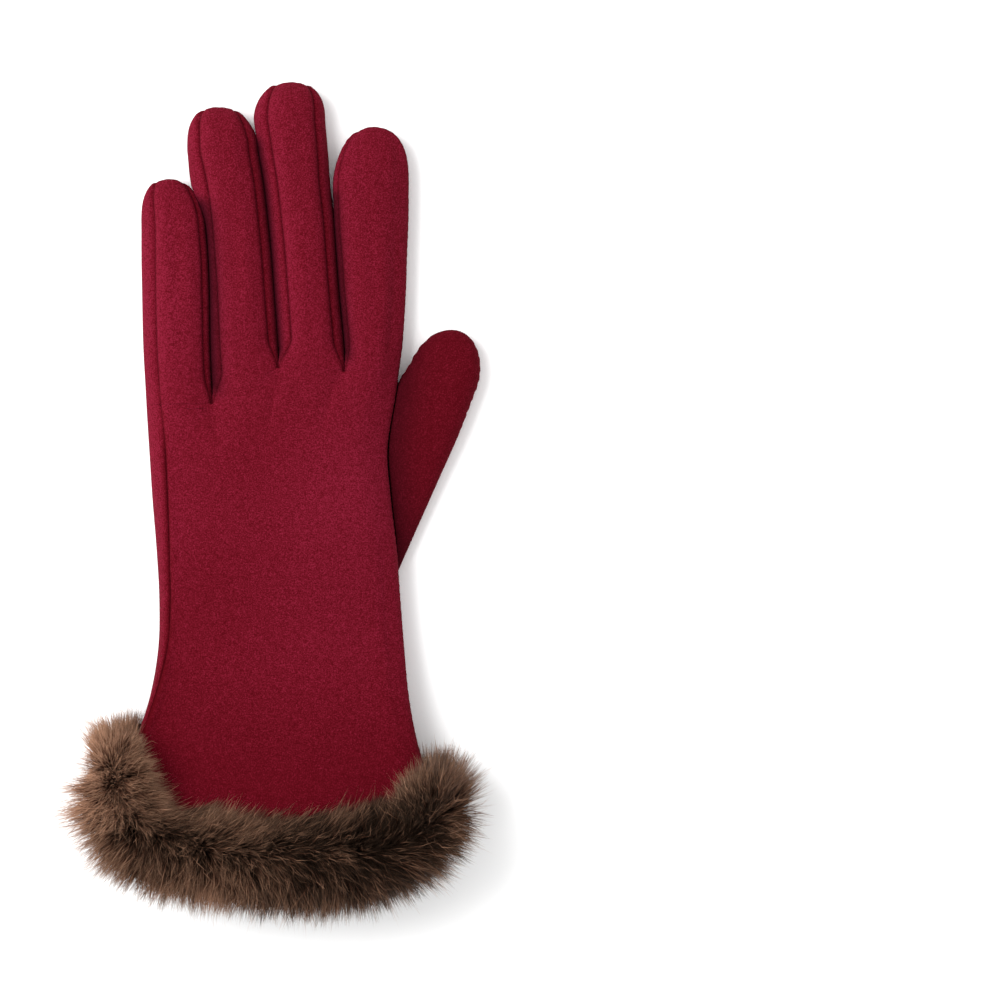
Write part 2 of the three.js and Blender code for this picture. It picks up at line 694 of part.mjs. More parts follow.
// The locks: every second point of the face is drawn out into a tuft, combed towards the cuff's free edge,
// and the points between them sink a little. A tuft under the cuff ends at the table.
function furRings() {
  const base = rollRings();
  return base.map((ring, i) => {
    const next = base[(i + 1) % base.length];
    const previous = base[(i + base.length - 1) % base.length];
    return ring.map((point, k) => {
      if (k === 0 || k >= 2 * fur.lockRows) return point;
      const around = next[k].clone().sub(previous[k]).normalize();
      const flow = ring[k + 1].clone().sub(ring[k - 1]).normalize();
      const out = around.clone().cross(flow).negate();
      const isTuft = k % 2 === 1 && (i + (k - 1) / 2) % 2 === 0;
      if (!isTuft) return point.clone().addScaledVector(out, -fur.valley);
      const pull = out
        .clone()
        .addScaledVector(flow, fur.comb + fur.scatter * (chance(i, k, 1) - 0.5))
        .addScaledVector(around, fur.scatter * (chance(i, k, 2) - 0.5))
        .multiplyScalar(fur.lockLength * mix(fur.shortest, fur.longest, chance(i, k, 3)));
      if (point.z + pull.z < 0) pull.multiplyScalar(point.z / -pull.z);
      return point.clone().add(pull);
    });
  });
}

const suede = { color: 0x761628, roughness: 0.95, metalness: 0 };
const pile = { color: 0x3a281f, roughness: 0.9, metalness: 0 };
const glove = new THREE.Group();
function addPiece(name, geometry, look) {
  const mesh = new THREE.Mesh(geometry, new THREE.MeshStandardMaterial(look));
  mesh.name = name;
  glove.add(mesh);
}

const filled = solidOf(filledShell());
const thumbOutside = solidOf(ringGeometry(thumbRings(0), false));
const thumbInside = solidOf(ringGeometry(thumbRings(thumb.wall), false));
for (const [name, triangles] of Object.entries(panelTriangles)) {
  const whole = panelGeometry(triangles);
  const hasThumbHole = name === "palm_panel";
  addPiece(name, hasThumbHole ? geometryOf(solidOf(whole).subtract(thumbInside)) : whole, suede);
}
addPiece("thumb", geometryOf(thumbOutside.subtract(thumbInside).subtract(filled)), suede);
addPiece("fur_cuff", geometryOf(solidOf(ringGeometry(furRings(), true)).subtract(filled)), pile);
export default glove;
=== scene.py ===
import math

import bpy
import numpy as np
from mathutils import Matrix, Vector
from mathutils.kdtree import KDTree


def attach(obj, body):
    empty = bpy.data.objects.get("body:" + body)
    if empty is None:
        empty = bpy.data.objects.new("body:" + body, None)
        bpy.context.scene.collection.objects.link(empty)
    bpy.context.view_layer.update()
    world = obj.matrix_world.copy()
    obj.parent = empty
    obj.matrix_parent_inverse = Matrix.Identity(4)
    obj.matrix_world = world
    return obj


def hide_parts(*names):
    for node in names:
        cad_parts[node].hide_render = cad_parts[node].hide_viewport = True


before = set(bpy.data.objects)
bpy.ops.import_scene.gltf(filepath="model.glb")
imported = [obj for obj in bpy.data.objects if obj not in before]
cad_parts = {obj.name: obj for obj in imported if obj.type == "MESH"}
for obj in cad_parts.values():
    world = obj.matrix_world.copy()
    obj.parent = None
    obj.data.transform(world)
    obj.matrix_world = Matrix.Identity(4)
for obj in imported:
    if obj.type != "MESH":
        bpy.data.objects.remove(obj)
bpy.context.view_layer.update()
mm = 0.001
print("frame loaded:", ", ".join(sorted(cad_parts)))


# Small helpers

def mix(a, b, t):
    return a + (b - a) * t


def ramp(t):  # 0 to 1 with soft ends
    t = np.clip(t, 0, 1)
    return t * t * (3 - 2 * t)


def hump(distance, width):
    return np.exp(-(distance / width) ** 2)


def unit(vectors):
    return vectors / np.maximum(np.linalg.norm(vectors, axis=-1, keepdims=True), 1e-9)


def lookUp(table, column, y):  # a column of a table at y, on a smooth curve through its rows
    ys, values = np.array(table["y"], float), np.array(table[column], float)
    y = np.asarray(y, float)
    last = len(ys) - 1
    after, before = np.minimum(np.arange(last + 1) + 1, last), np.maximum(np.arange(last + 1) - 1, 0)
    slopes = (values[after] - values[before]) / (ys[after] - ys[before])
    i = np.clip(np.searchsorted(ys, y, side="right") - 1, 0, last - 1)
    span = ys[i + 1] - ys[i]
    t = (y - ys[i]) / span
    inside = mix(values[i], values[i + 1], ramp(t))
    inside = inside + span * (t * (1 - t) ** 2 * slopes[i] - t * t * (1 - t) * slopes[i + 1])
    low = values[i] + slopes[i] * (y - ys[i])
    high = values[i + 1] + slopes[i + 1] * (y - ys[i + 1])
    return np.where(t < 0, low, np.where(t > 1, high, inside))


def eased(t, share):  # 0 to 1, slower at both ends by a share
    return mix(t, (1 - np.cos(math.pi * t)) / 2, share)


def gridQuads(ids):  # a face between each two rows and columns of point numbers
    return np.stack([ids[:-1, :-1], ids[:-1, 1:], ids[1:, 1:], ids[1:, :-1]], -1).reshape(-1, 4)


def meshOf(name, points, faces):  # from points in mm; a face drops a corner that it has twice
    tidy = [list(dict.fromkeys(face)) for face in faces]
    mesh = bpy.data.meshes.new(name)
    mesh.from_pydata((np.asarray(points) * mm).tolist(), [], [face for face in tidy if len(face) > 2])
    mesh.polygons.foreach_set("use_smooth", np.ones(len(mesh.polygons), bool))
    mesh.update()
    return mesh


def loftMesh(name, rings, isLoop):  # a skin over rings of points, capped unless it closes on itself
    count, around = rings.shape[:2]
    ids = np.arange(count * around).reshape(count, around)
    ids = np.concatenate([ids, ids[:, :1]], axis=1)
    points = rings.reshape(-1, 3)
    if isLoop:
        return meshOf(name, points, gridQuads(np.concatenate([ids, ids[:1]])).tolist())
    faces = gridQuads(ids).tolist()
    first, last = len(points), len(points) + 1  # the middles of the two caps
    points = np.concatenate([points, rings[0].mean(0)[None], rings[-1].mean(0)[None]])
    for k in range(around):
        faces.append([first, int(ids[0, k + 1]), int(ids[0, k])])
        faces.append([last, int(ids[-1, k]), int(ids[-1, k + 1])])
    return meshOf(name, points, faces)


def addObject(mesh, *materials):
    for material in materials:
        mesh.materials.append(material)
    thing = bpy.data.objects.new(mesh.name, mesh)
    bpy.context.scene.collection.objects.link(thing)
    return thing


def addAttribute(mesh, name, values, kind="FLOAT"):  # a number or a direction for each point
    data = mesh.attributes.new(name, kind, "POINT").data
    data.foreach_set("value" if kind == "FLOAT" else "vector", np.asarray(values, np.float32).ravel())


def evaluatedMesh(thing):  # what its modifiers make of it, as a plain mesh that takes over its name
    bpy.context.view_layer.update()
    made = bpy.data.meshes.new_from_object(thing.evaluated_get(bpy.context.evaluated_depsgraph_get()))
    source, name = thing.data, thing.data.name
    bpy.data.objects.remove(thing)
    bpy.data.meshes.remove(source)
    made.name = name
    return made


def cutBy(mesh, cutters):  # the mesh less the cutters
    keepSharp = 50  # degrees over which an edge, such as the cut's own, isn't smoothed
    before = len(mesh.vertices)
    target = addObject(mesh)
    for cutter in cutters:
        modifier = target.modifiers.new("cut", "BOOLEAN")
        modifier.operation, modifier.solver, modifier.object = "DIFFERENCE", "MANIFOLD", cutter
    cut = evaluatedMesh(target)
    cut.polygons.foreach_set("use_smooth", np.ones(len(cut.polygons), bool))
    cut.set_sharp_from_angle(angle=math.radians(keepSharp))
    print(f"cut {cut.name}: {before} points before, {len(cut.vertices)} after")
    return cut


def liftOf(points, patches):  # soft round patches seen from above, lighter above nought and darker below
    lift = np.zeros(points.shape[:-1])
    for patch in patches:
        far = np.linalg.norm(points[..., :2] - [patch["x"], patch["y"]], axis=-1)
        lift = lift + patch["lift"] * hump(far, patch["radius"])
    return lift


def dress(piece, node):  # every piece rides with the glove and stands in for one of its solids
    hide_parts(node)
    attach(piece, "root")


# The pattern of the shell: its body and its fingers, seen from above

bodyTable = {  # left and right edges, heights over the table, how far in the outer seam lies
    "y": [-90, -75, -60, -45, -30, -15, 0, 15, 30, 42],
    "left": [-47.0, -42.0, -37.2, -34.8, -34.6, -35.4, -36.6, -37.6, -38.7, -39.5],
    "right": [48.8, 43.8, 40.7, 39.2, 38.0, 36.9, 35.2, 34.2, 36.5, 38.1],
    "under": [9.6, 7.6, 4.4, 1.5, 0, 0, 0, 0, 0, 0],
    "edge": [18.2, 15.6, 12.4, 9.4, 8.2, 8.8, 9.4, 9.4, 8.2, 6.8],
    "top": [27.0, 24.0, 20.4, 17.4, 16.2, 16.6, 17.0, 16.8, 15.4, 13.6],
    "seamIn": [1.2, 1.2, 1.8, 2.9, 3.4, 4.0, 4.7, 4.9, 4.8, 4.6],
}
fingers = [  # heights are those underneath, at the edges and on top
    {
        "name": "little", "tip": (-31.9, 96.6), "round": 16, "seamIn": (4.2, 1.6), "heights": (0, 5.4, 11.2),
        "edges": {
            "y": [28.5, 45, 62, 74, 84],
            "left": [-38.6, -39.6, -40.0, -40.2, -40.2],
            "right": [-18.5, -19.4, -19.65, -20.1, -21.1],
        },
    },
    {
        "name": "ring", "tip": (-16.9, 118.2), "round": 13.5, "seamIn": (3.8, 2.4), "heights": (0, 5.6, 12.2),
        "edges": {
            "y": [28.5, 45, 62, 74, 84, 95, 104],
            "left": [-18.5, -19.2, -19.4, -19.9, -21.0, -25.0, -26.1],
            "right": [1.3, 1.0, -0.2, -1.1, -2.1, -3.4, -4.9],
            "inLeft": [3.6, 2.8, 2.2, 1.8, 2.0, 4.6, 3.8],
        },
    },
    {
        "name": "middle", "tip": (4.9, 125.6), "round": 11.5, "seamIn": (4.0, 2.7), "heights": (0, 5.8, 12.6),
        "edges": {
            "y": [39, 45, 62, 74, 84, 95, 104, 113],
            "left": [1.3, 1.2, 0.0, -0.9, -1.9, -3.2, -4.7, -6.0],
            "right": [21.2, 21.0, 19.4, 18.5, 17.8, 16.5, 15.9, 15.1],
        },
    },
    {
        "name": "index", "tip": (30.1, 112.3), "round": 18.5, "seamIn": (1.3, 4.0), "heights": (0, 5.6, 12.0),
        "edges": {
            "y": [38.4, 45, 62, 74, 84, 95],
            "left": [21.2, 21.2, 19.6, 18.7, 18.0, 17.6],
            "right": [37.7, 38.5, 39.6, 40.0, 40.4, 40.5],
        },
    },
]
shell = {
    "wall": 1.5,  # faux suede with its brushed lining
    "insideOver": (0.2, 1.2),  # least height of its inner side, where it lies on the table and farther up
    "cutGap": 0.06,  # between the two panels at the bottom of a seam
    "crotches": [(-18.5, 28.5), (1.3, 39.6), (21.2, 38.4)],
    "knuckleLeft": 28.5, "knuckleRight": 38.4,
    "knuckleHeights": (0, 6.6, 13.4),
    "knuckleReach": 0.2,  # share of the body over which the knuckles fade out
    "rightRounding": 5,  # of the fold on the thumb's side
    "sideRise": 0.62, "sideDrop": 0.7,  # how far up and down its side a finger's seams lie
    "forkLength": 9,  # mm over which a finger rises from its crotch to its full height
    "webBulge": 1.6,
    "press": 0.19,  # how far two neighbouring fingers swell towards each other
    "fullness": {"finger": 3.2, "body": 2.6},  # how square the top is across, where 2 is an arc
    "flatness": {"finger": (3.2, 1.3), "body": (3.4, 1.25)},  # the same underneath, and how flat it is
    "tipSquareness": 2.25, "tipSeam": 0.36,  # share of the tip's width where the side strips meet
    "kneadReach": 9, "foldReach": 4,  # mm evened out on both sides of the knuckles and of the fold
    "kneadRounds": 160, "kneadPull": 0.5,  # share of the way to its neighbours' height in each round
}
hem = {
    "left": -78, "right": -90,  # where it meets the sides
    "sag": {"top": 23.2, "under": 17},  # how far its arc hangs back
    "cornerLeft": 8, "cornerRight": 4.2, "cornerSoftness": 0.55,  # the arc is squarer on the left
}
grid = {
    "columnsPerFinger": 22, "sideColumns": 12, "bodyRows": 104, "fingerRows": 84, "tipRows": 26,
    "seamCrowding": 0.6, "bodyCrowding": 0.5,  # how much closer the columns stand at the seams
    "bodySpread": 1.25, "fingerSpread": 1.15,  # the rows stand closer at the knuckles
    "fingersFrom": 0.55, "fingersOver": 0.4,  # share of the body where its columns become the fingers'
    "hemFade": 1.6,  # how fast the hem's own crowding fades
    "pointsPerMm": 200,  # points that are closer than this are one
}
columns = eased(np.linspace(0, 1, grid["columnsPerFinger"] + 1), grid["seamCrowding"])
sideColumns = eased(np.linspace(0, 1, grid["sideColumns"] + 1), grid["seamCrowding"])


def crownTop(low, high, across, fullness):
    return mix(low, high, 1 - np.abs(2 * across - 1) ** fullness)


def crownUnder(high, low, across, flatness):
    power, flatOver = flatness
    return mix(high, low, np.minimum(1, flatOver * (1 - np.abs(2 * across - 1) ** power)))


def fingerEdges(finger, y):  # both edges seen from above, closing on an ellipse round the tip
    roundFrom = finger["tip"][1] - finger["round"]
    level = np.minimum(y, roundFrom)
    left, right = (lookUp(finger["edges"], side, level) for side in ("left", "right"))
    into = np.clip((y - roundFrom) / finger["round"], 0, 1)
    centre = mix((left + right) / 2, finger["tip"][0], ramp(into))
    half = (right - left) / 2 * (1 - into ** shell["tipSquareness"]) ** (1 / shell["tipSquareness"])
    return centre - half, centre + half


startPoints = [
    (float(lookUp(bodyTable, "left", shell["knuckleLeft"])), shell["knuckleLeft"]),
    *shell["crotches"],
    (float(lookUp(bodyTable, "right", shell["knuckleRight"])), shell["knuckleRight"]),
]


def fingerSheets(index):  # the four sides of a finger as grids of points: top, under, left and right
    finger = fingers[index]
    (startLeftX, startLeftY), (startRightX, startRightY) = startPoints[index], startPoints[index + 1]
    forked = (index > 0, index < len(fingers) - 1)
    roundFrom = finger["tip"][1] - finger["round"]
    straight = np.linspace(0, 1, grid["fingerRows"] + 1) ** grid["fingerSpread"]
    straight = np.append(straight, np.ones(grid["tipRows"]))
    curl = np.append(np.zeros(grid["fingerRows"]), np.linspace(0, 1, grid["tipRows"] + 1))
    swing = np.sin(curl * math.acos(shell["tipSeam"])) ** (2 / shell["tipSquareness"])
    tipY = roundFrom + finger["round"] * swing
    leftY = np.where(curl > 0, tipY, mix(startLeftY, roundFrom, straight))
    rightY = np.where(curl > 0, tipY, mix(startRightY, roundFrom, straight))
    climb = np.minimum(leftY - startLeftY, rightY - startRightY)
    grown = ramp(climb / shell["forkLength"])
    left, right = fingerEdges(finger, leftY)[0], fingerEdges(finger, rightY)[1]
    # its edges start exactly at the crotches
    left = left + (1 - grown) * (startLeftX - fingerEdges(finger, startLeftY)[0])
    right = right + (1 - grown) * (startRightX - fingerEdges(finger, startRightY)[1])
    thick = np.cos(curl * math.pi / 2)
    ahead = (finger["tip"][1] - tipY) * curl ** 3
    under, edge, top = (mix(a, b, grown) for a, b in zip(shell["knuckleHeights"], finger["heights"]))
    highTop, lowUnder = edge + (top - edge) * thick, edge - (edge - under) * thick
    seamTop, seamUnder = mix(edge, highTop, shell["sideRise"]), mix(edge, lowUnder, shell["sideDrop"])
    inLeft = finger["seamIn"][0]
    if "inLeft" in finger["edges"]:
        inLeft = np.where(leftY > roundFrom, inLeft, lookUp(finger["edges"], "inLeft", leftY))
    inLeft = inLeft * thick * (grown if forked[0] else 1)
    inRight = finger["seamIn"][1] * thick * (grown if forked[1] else 1)
    c = columns[None, :]
    row = [v[:, None] for v in (left + inLeft, right - inRight, leftY, rightY, ahead)]
    x = mix(row[0], row[1], c)
    y = mix(row[2], row[3], c) + row[4] * (1 - (2 * c - 1) ** 2)
    topZ = crownTop(seamTop[:, None], highTop[:, None], c, shell["fullness"]["finger"])
    underZ = crownUnder(seamUnder[:, None], lowUnder[:, None], c, shell["flatness"]["finger"])

    def side(edgeX, edgeY, inset, isForked):
        down = sideColumns[None, :]
        bulge = 1 - (2 * down - 1) ** 2
        forward = shell["webBulge"] * (1 - grown[:, None]) * bulge if isForked else 0 * bulge
        press = shell["press"] * grown * thick * -np.sign(inset) if isForked else 0 * grown
        sideX = edgeX[:, None] + inset[:, None] * (1 - bulge) + press[:, None] * bulge
        sideZ = mix(seamTop[:, None], seamUnder[:, None], down)
        return np.stack([sideX, edgeY[:, None] + forward, sideZ], -1)

    return {
        "top": np.stack([x, y, topZ], -1),
        "under": np.stack([x, y, underZ], -1),
        "left": side(left, leftY, inLeft, forked[0]),
        "right": side(right, rightY, -inRight, forked[1]),
    }


fingerGrids = [fingerSheets(index) for index in range(len(fingers))]


def knuckleRow(sheet, across):  # the row where the body ends and the fingers begin
    if sheet in ("left", "right"):
        return fingerGrids[0 if sheet == "left" else -1][sheet][0]
    at = np.minimum(across * len(fingers), len(fingers) - 1e-6)
    index = np.floor(at).astype(int)
    points = np.zeros((len(across), 3))
    for k, grids in enumerate(fingerGrids):
        mine = index == k
        for axis in range(3):
            points[mine, axis] = np.interp(at[mine] - k, columns, grids[sheet][0][:, axis])
    points[-1] = fingerGrids[-1][sheet][0][-1]
    return points


def bodyColumns(along):  # shares of the way across: even at the hem, as on the fingers at the knuckles
    perFinger = (np.arange(len(fingers))[:, None] + columns[None, :-1]).ravel() / len(fingers)
    perFinger = np.append(perFinger, 1)
    even = eased(np.linspace(0, 1, len(perFinger)), grid["bodyCrowding"])
    across = mix(even, perFinger, ramp((along - grid["fingersFrom"]) / grid["fingersOver"]))
    return across, mix(eased(across, grid["bodyCrowding"]), across, ramp(along * grid["hemFade"]))


def bodyRow(sheet, along):  # one row across a side of the body: along is 0 at the hem and 1 at the knuckles
    leftY = mix(hem["left"], shell["knuckleLeft"], along)
    rightY = mix(hem["right"], shell["knuckleRight"], along)
    edge, top, under = (lookUp(bodyTable, name, (leftY + rightY) / 2) for name in ("edge", "top", "under"))
    under = max(0, under)
    left, right = lookUp(bodyTable, "left", leftY), lookUp(bodyTable, "right", rightY)
    seamIn = lookUp(bodyTable, "seamIn", leftY)
    seamTop, seamUnder = mix(edge, top, shell["sideRise"]), mix(edge, under, shell["sideDrop"])
    across, share = bodyColumns(along)
    if sheet in ("left", "right"):
        bulge = 1 - (2 * sideColumns - 1) ** 2
        sides = {"left": (left, leftY, seamIn), "right": (right, rightY, -shell["rightRounding"])}
        x, y, inset = sides[sheet]
        x = x + inset * (1 - bulge)
        points = np.stack([x, np.full_like(x, y), mix(seamTop, seamUnder, sideColumns)], -1)
    else:
        corner = np.where(share < 0.5, hem["cornerLeft"], hem["cornerRight"])
        arc = np.maximum(0, 1 - np.abs(2 * share - 1) ** corner) ** hem["cornerSoftness"]
        x = mix(left + seamIn, right - shell["rightRounding"], share)
        y = mix(leftY, rightY, share) - hem["sag"][sheet] * (1 - along) ** 3 * arc
        if sheet == "top":
            z = crownTop(seamTop, top, share, shell["fullness"]["body"])
        else:
            z = crownUnder(seamUnder, under, share, shell["flatness"]["body"])
        points = np.stack([x, y, z], -1)
    near = ramp((along - 1 + shell["knuckleReach"]) / shell["knuckleReach"])
    return mix(points, knuckleRow(sheet, across), near ** 2)


steps = 1 - (1 - np.linspace(0, 1, grid["bodyRows"] + 1)) ** grid["bodySpread"]
bodySides = ("top", "under", "left", "right")
body = {sheet: np.array([bodyRow(sheet, along) for along in steps]) for sheet in bodySides}
foldColumn = grid["sideColumns"] // 2  # half way down the thumb's side, where back and palm meet
panelSheets = {  # each panel's sheets, and whether a sheet's outside is on its other hand
    "back_panel": [(body["top"], False), (body["right"][:, : foldColumn + 1], False)]
    + [(grids["top"], False) for grids in fingerGrids]
    + [(fingerGrids[-1]["right"][:, : foldColumn + 1], False)],
    "palm_panel": [(body["under"], True), (body["left"], True), (body["right"][:, foldColumn:], False)]
    + [(grids["under"], True) for grids in fingerGrids]
    + [(fingerGrids[0]["left"], True), (fingerGrids[-1]["right"][:, foldColumn:], False)],
}
for index, (finger, neighbour) in enumerate(zip(fingers, fingers[1:])):
    panelSheets[f"fourchette_{finger['name']}_{neighbour['name']}"] = [
        (fingerGrids[index]["right"], False),
        (fingerGrids[index + 1]["left"], True),
    ]


# One stitched surface of all the sheets

def stitchKeys(points):
    return np.round(points * grid["pointsPerMm"]).astype(np.int64)


allSheets = [sheet for sheets in panelSheets.values() for sheet, turned in sheets]
allPoints = np.concatenate([sheet.reshape(-1, 3) for sheet in allSheets])
_, firstUse, pointId = np.unique(stitchKeys(allPoints), axis=0, return_index=True, return_inverse=True)
pointId = pointId.reshape(-1)
surface = allPoints[firstUse]
idOf = {tuple(key): k for k, key in enumerate(stitchKeys(surface).tolist())}
panelQuads, hemIds, used = {}, set(), 0
for name, sheets in panelSheets.items():
    quads = []
    for sheet, turned in sheets:
        count = sheet.shape[0] * sheet.shape[1]
        ids = pointId[used : used + count].reshape(sheet.shape[:2])
        used += count
        quads.append(gridQuads(ids)[:, ::-1] if turned else gridQuads(ids))
        if len(sheet) == len(steps):  # only the body's sheets reach the hem
            hemIds.update(ids[0].tolist())
    panelQuads[name] = np.concatenate(quads)
shellQuads = np.concatenate(list(panelQuads.values()))


def quadEdges(quads):
    edges = np.concatenate([quads[:, [k, (k + 1) % 4]] for k in range(4)])
    return edges[edges[:, 0] != edges[:, 1]]


def openEdges(quads):
    edges = quadEdges(quads)
    there, back = edges @ [len(surface), 1], edges @ [1, len(surface)]
    return edges[~np.isin(there, back)]


def kneadKnuckles():  # heights evened out with their neighbours' where the fingers leave the body
    start, end = quadEdges(shellQuads).T
    # near neighbours count more
    pull = 1 / np.maximum(0.05, np.linalg.norm(surface[end] - surface[start], axis=1))
    whole = np.bincount(start, pull, len(surface))
    x, y, z = surface.T
    knuckleX, knuckleY = np.array(startPoints).T
    share = 1 - ramp(np.abs(y - np.interp(x, knuckleX, knuckleY)) / shell["kneadReach"])
    foldX = np.interp(y, body["right"][:, 0, 1], body["right"][:, 0, 0])
    isFold = (z > lookUp(bodyTable, "edge", y)) & (y < shell["knuckleRight"])
    share = np.maximum(share, isFold * (1 - ramp(np.abs(x - foldX) / shell["foldReach"])))
    share[np.unique(np.concatenate([openEdges(quads) for quads in panelQuads.values()]))] = 0
    for _ in range(shell["kneadRounds"]):
        average = np.bincount(start, pull * surface[end, 2], len(surface)) / whole
        surface[:, 2] = mix(surface[:, 2], average, share * shell["kneadPull"])


def normalsOf(points, quads):
    a, b, c, d = (points[quads[:, corner]] for corner in range(4))
    faceNormals = np.cross(c - a, d - b)
    normals = np.zeros_like(points)
    for corner in range(4):
        np.add.at(normals, quads[:, corner], faceNormals)
    return unit(normals)


kneadKnuckles()
surfaceNormals = normalsOf(surface, shellQuads)
print(f"pattern stitched: {len(surface)} points, {len(shellQuads)} faces")


# The panels: seams, folds, painted light and shade, then their thickness

seams = {
    "depth": 0.42, "width": 0.55,  # the groove where two panels turn in
    "ridge": 0.2, "ridgeAt": 1.5, "ridgeWidth": 0.9,  # the roll of cloth beside it
    "pucker": 0.75, "puckerEvery": 2.6,  # share of the ridge that each stitch pulls in
    "puckerDrift": 7.0,  # mm over which the stitches' spacing varies
    "outer": 0.9, "outerFade": 20,  # how much deeper it is on the little finger's side of the body
    "darkWidth": 0.8,
}
folds = {
    "creaseDepth": 0.5, "creaseWidth": 1.5, "creaseLength": 6.0,  # straight down from each crotch
    "creaseHold": 0.35,  # share of its length before it fades
    "creaseLean": (0.10, 0.05, 0.02),  # towards the thumb, mm for each mm down
    "wingDepth": 0.35, "wingWidth": 1.5, "wingLength": 11, "wingSpread": 38,  # soft folds to both sides of it
    "start": 3,  # mm over which both set in
    "swell": 0.4, "swellUntil": 45, "swellFade": 30,  # slow rise and fall of the empty cloth
    "swellWaves": (9.7, 17.0, 21.0), "slantWaves": (15.0, 26.0),  # mm
    "flute": 0.16, "fluteFrom": 48, "fluteFade": 14,  # lengthwise ripples of the fingers
    "fluteTurn": 0.9, "fluteWaves": (13.0, 11.0, 6.0),  # radians for each mm across, and mm
}
paintedLightAndTone = {
    "cuffFrom": -40, "cuffOver": 45, "paintedCuffShade": 0.3,  # painted shade, darker towards the cuff where the fur shades the cloth
    "toLight": 0.3,  # painted light: lighter where the cloth turns towards the lamp
    "patches": [
        {"x": -19, "y": -27, "radius": 17, "lift": -0.12},
        {"x": 14, "y": 0, "radius": 20, "lift": 0.08},
        {"x": -37, "y": 60, "radius": 26, "lift": 0.09},
        {"x": -4, "y": 16, "radius": 24, "lift": -0.1},
        {"x": 24, "y": 8, "radius": 20, "lift": 0.1},
        {"x": -31, "y": -48, "radius": 20, "lift": -0.16},
    ],
}
# painted shade in the gaps between the fingers
paintedGapShade = {
    "gaps": [  # mm to both sides of the line where two fingers touch, and how far up
        {"left": 0.5, "right": 3.6, "until": 88},
        {"left": 0.5, "right": 1.8, "until": 106},
        {"left": 0.5, "right": 2.6, "until": 90},
    ],
    "fadeIn": 6, "fadeOut": 5,  # mm
}


def seamLengths(edges):  # how far along its seam each point of a panel's border lies
    following = dict(map(tuple, edges))
    lengths = {}
    for first in following:
        at, run = first, 0.0
        while at not in lengths:
            lengths[at] = run
            after = following[at]
            run += float(np.linalg.norm(surface[after] - surface[at]))
            at = after
    return lengths


def fromSeams(points, edges):  # how far a panel's points lie from its nearest seam, and how far along it
    lengths = seamLengths(edges)
    sewn = [v for v in np.unique(edges) if v not in hemIds]
    tree = KDTree(len(sewn))
    for k, v in enumerate(sewn):
        tree.insert(surface[v], k)
    tree.balance()
    found = [tree.find(point) for point in points]
    return np.array([hit[2] for hit in found]), np.array([lengths[sewn[hit[1]]] for hit in found])


def clothFolds(points, normals):  # folds and swells of the whole shell, in millimetres along its normals
    x, y, z = points.T
    up = np.clip(normals[:, 2], 0, 1)
    # the bare numbers only bend and shift the waves, so that they don't line up
    waveX, bendY, waveY = folds["swellWaves"]
    slantX, slantY = folds["slantWaves"]
    move = folds["swell"] * up * (
        0.5 * np.sin(x / waveX + 1.1 * np.sin(y / bendY)) * np.sin(y / waveY + 0.6)
        + 0.5 * np.sin(x / slantX - y / slantY + 2.1)
    ) * ramp((folds["swellUntil"] - y) / folds["swellFade"])
    turn = math.radians(folds["wingSpread"])
    for (crotchX, crotchY), lean in zip(shell["crotches"], folds["creaseLean"]):
        below = crotchY - y
        beside = x - crotchX - lean * below
        ends = ramp((below - folds["creaseHold"] * folds["creaseLength"]) / folds["creaseLength"])
        fade = ramp((below + 1) / folds["start"]) * (1 - ends)
        move = move - up * folds["creaseDepth"] * fade * hump(beside, folds["creaseWidth"])
        for hand in (-1, 1):
            alongWing = below * math.cos(turn) + hand * beside * math.sin(turn)
            offWing = hand * beside * math.cos(turn) - below * math.sin(turn)
            ends = ramp((alongWing - folds["start"]) / folds["wingLength"])
            fade = ramp(alongWing / folds["start"]) * (1 - ends)
            move = move - up * folds["wingDepth"] * fade * hump(offWing, folds["wingWidth"])
    bendY, waveY, slantX = folds["fluteWaves"]
    ripple = np.sin(x * folds["fluteTurn"] + 0.6 * np.sin(y / bendY)) * np.sin(y / waveY + x / slantX)
    return move + folds["flute"] * up * ramp((y - folds["fluteFrom"]) / folds["fluteFade"]) * ripple


def paintedLightAndToneAt(points, normals):  # painted light and shade on the cloth, with soft lighter and darker patches
    paintedShadeToCuff = paintedLightAndTone["paintedCuffShade"] * ramp((paintedLightAndTone["cuffFrom"] - points[:, 1]) / paintedLightAndTone["cuffOver"])
    return liftOf(points, paintedLightAndTone["patches"]) - paintedShadeToCuff + paintedLightAndTone["toLight"] * np.maximum(0, -normals[:, 0])


def deepIn(points):  # how much painted shade a point gets between two fingers
    x, y, z = points.T
    deep = np.zeros(len(points))
    for index, gap in enumerate(paintedGapShade["gaps"]):
        away = x - (fingerEdges(fingers[index], y)[1] + fingerEdges(fingers[index + 1], y)[0]) / 2
        level = ramp((y - shell["crotches"][index][1]) / paintedGapShade["fadeIn"])
        level = level * (1 - ramp((y - gap["until"]) / paintedGapShade["fadeOut"]))
        deep = np.maximum(deep, level * hump(away, np.where(away > 0, gap["right"], gap["left"])))
    return deep


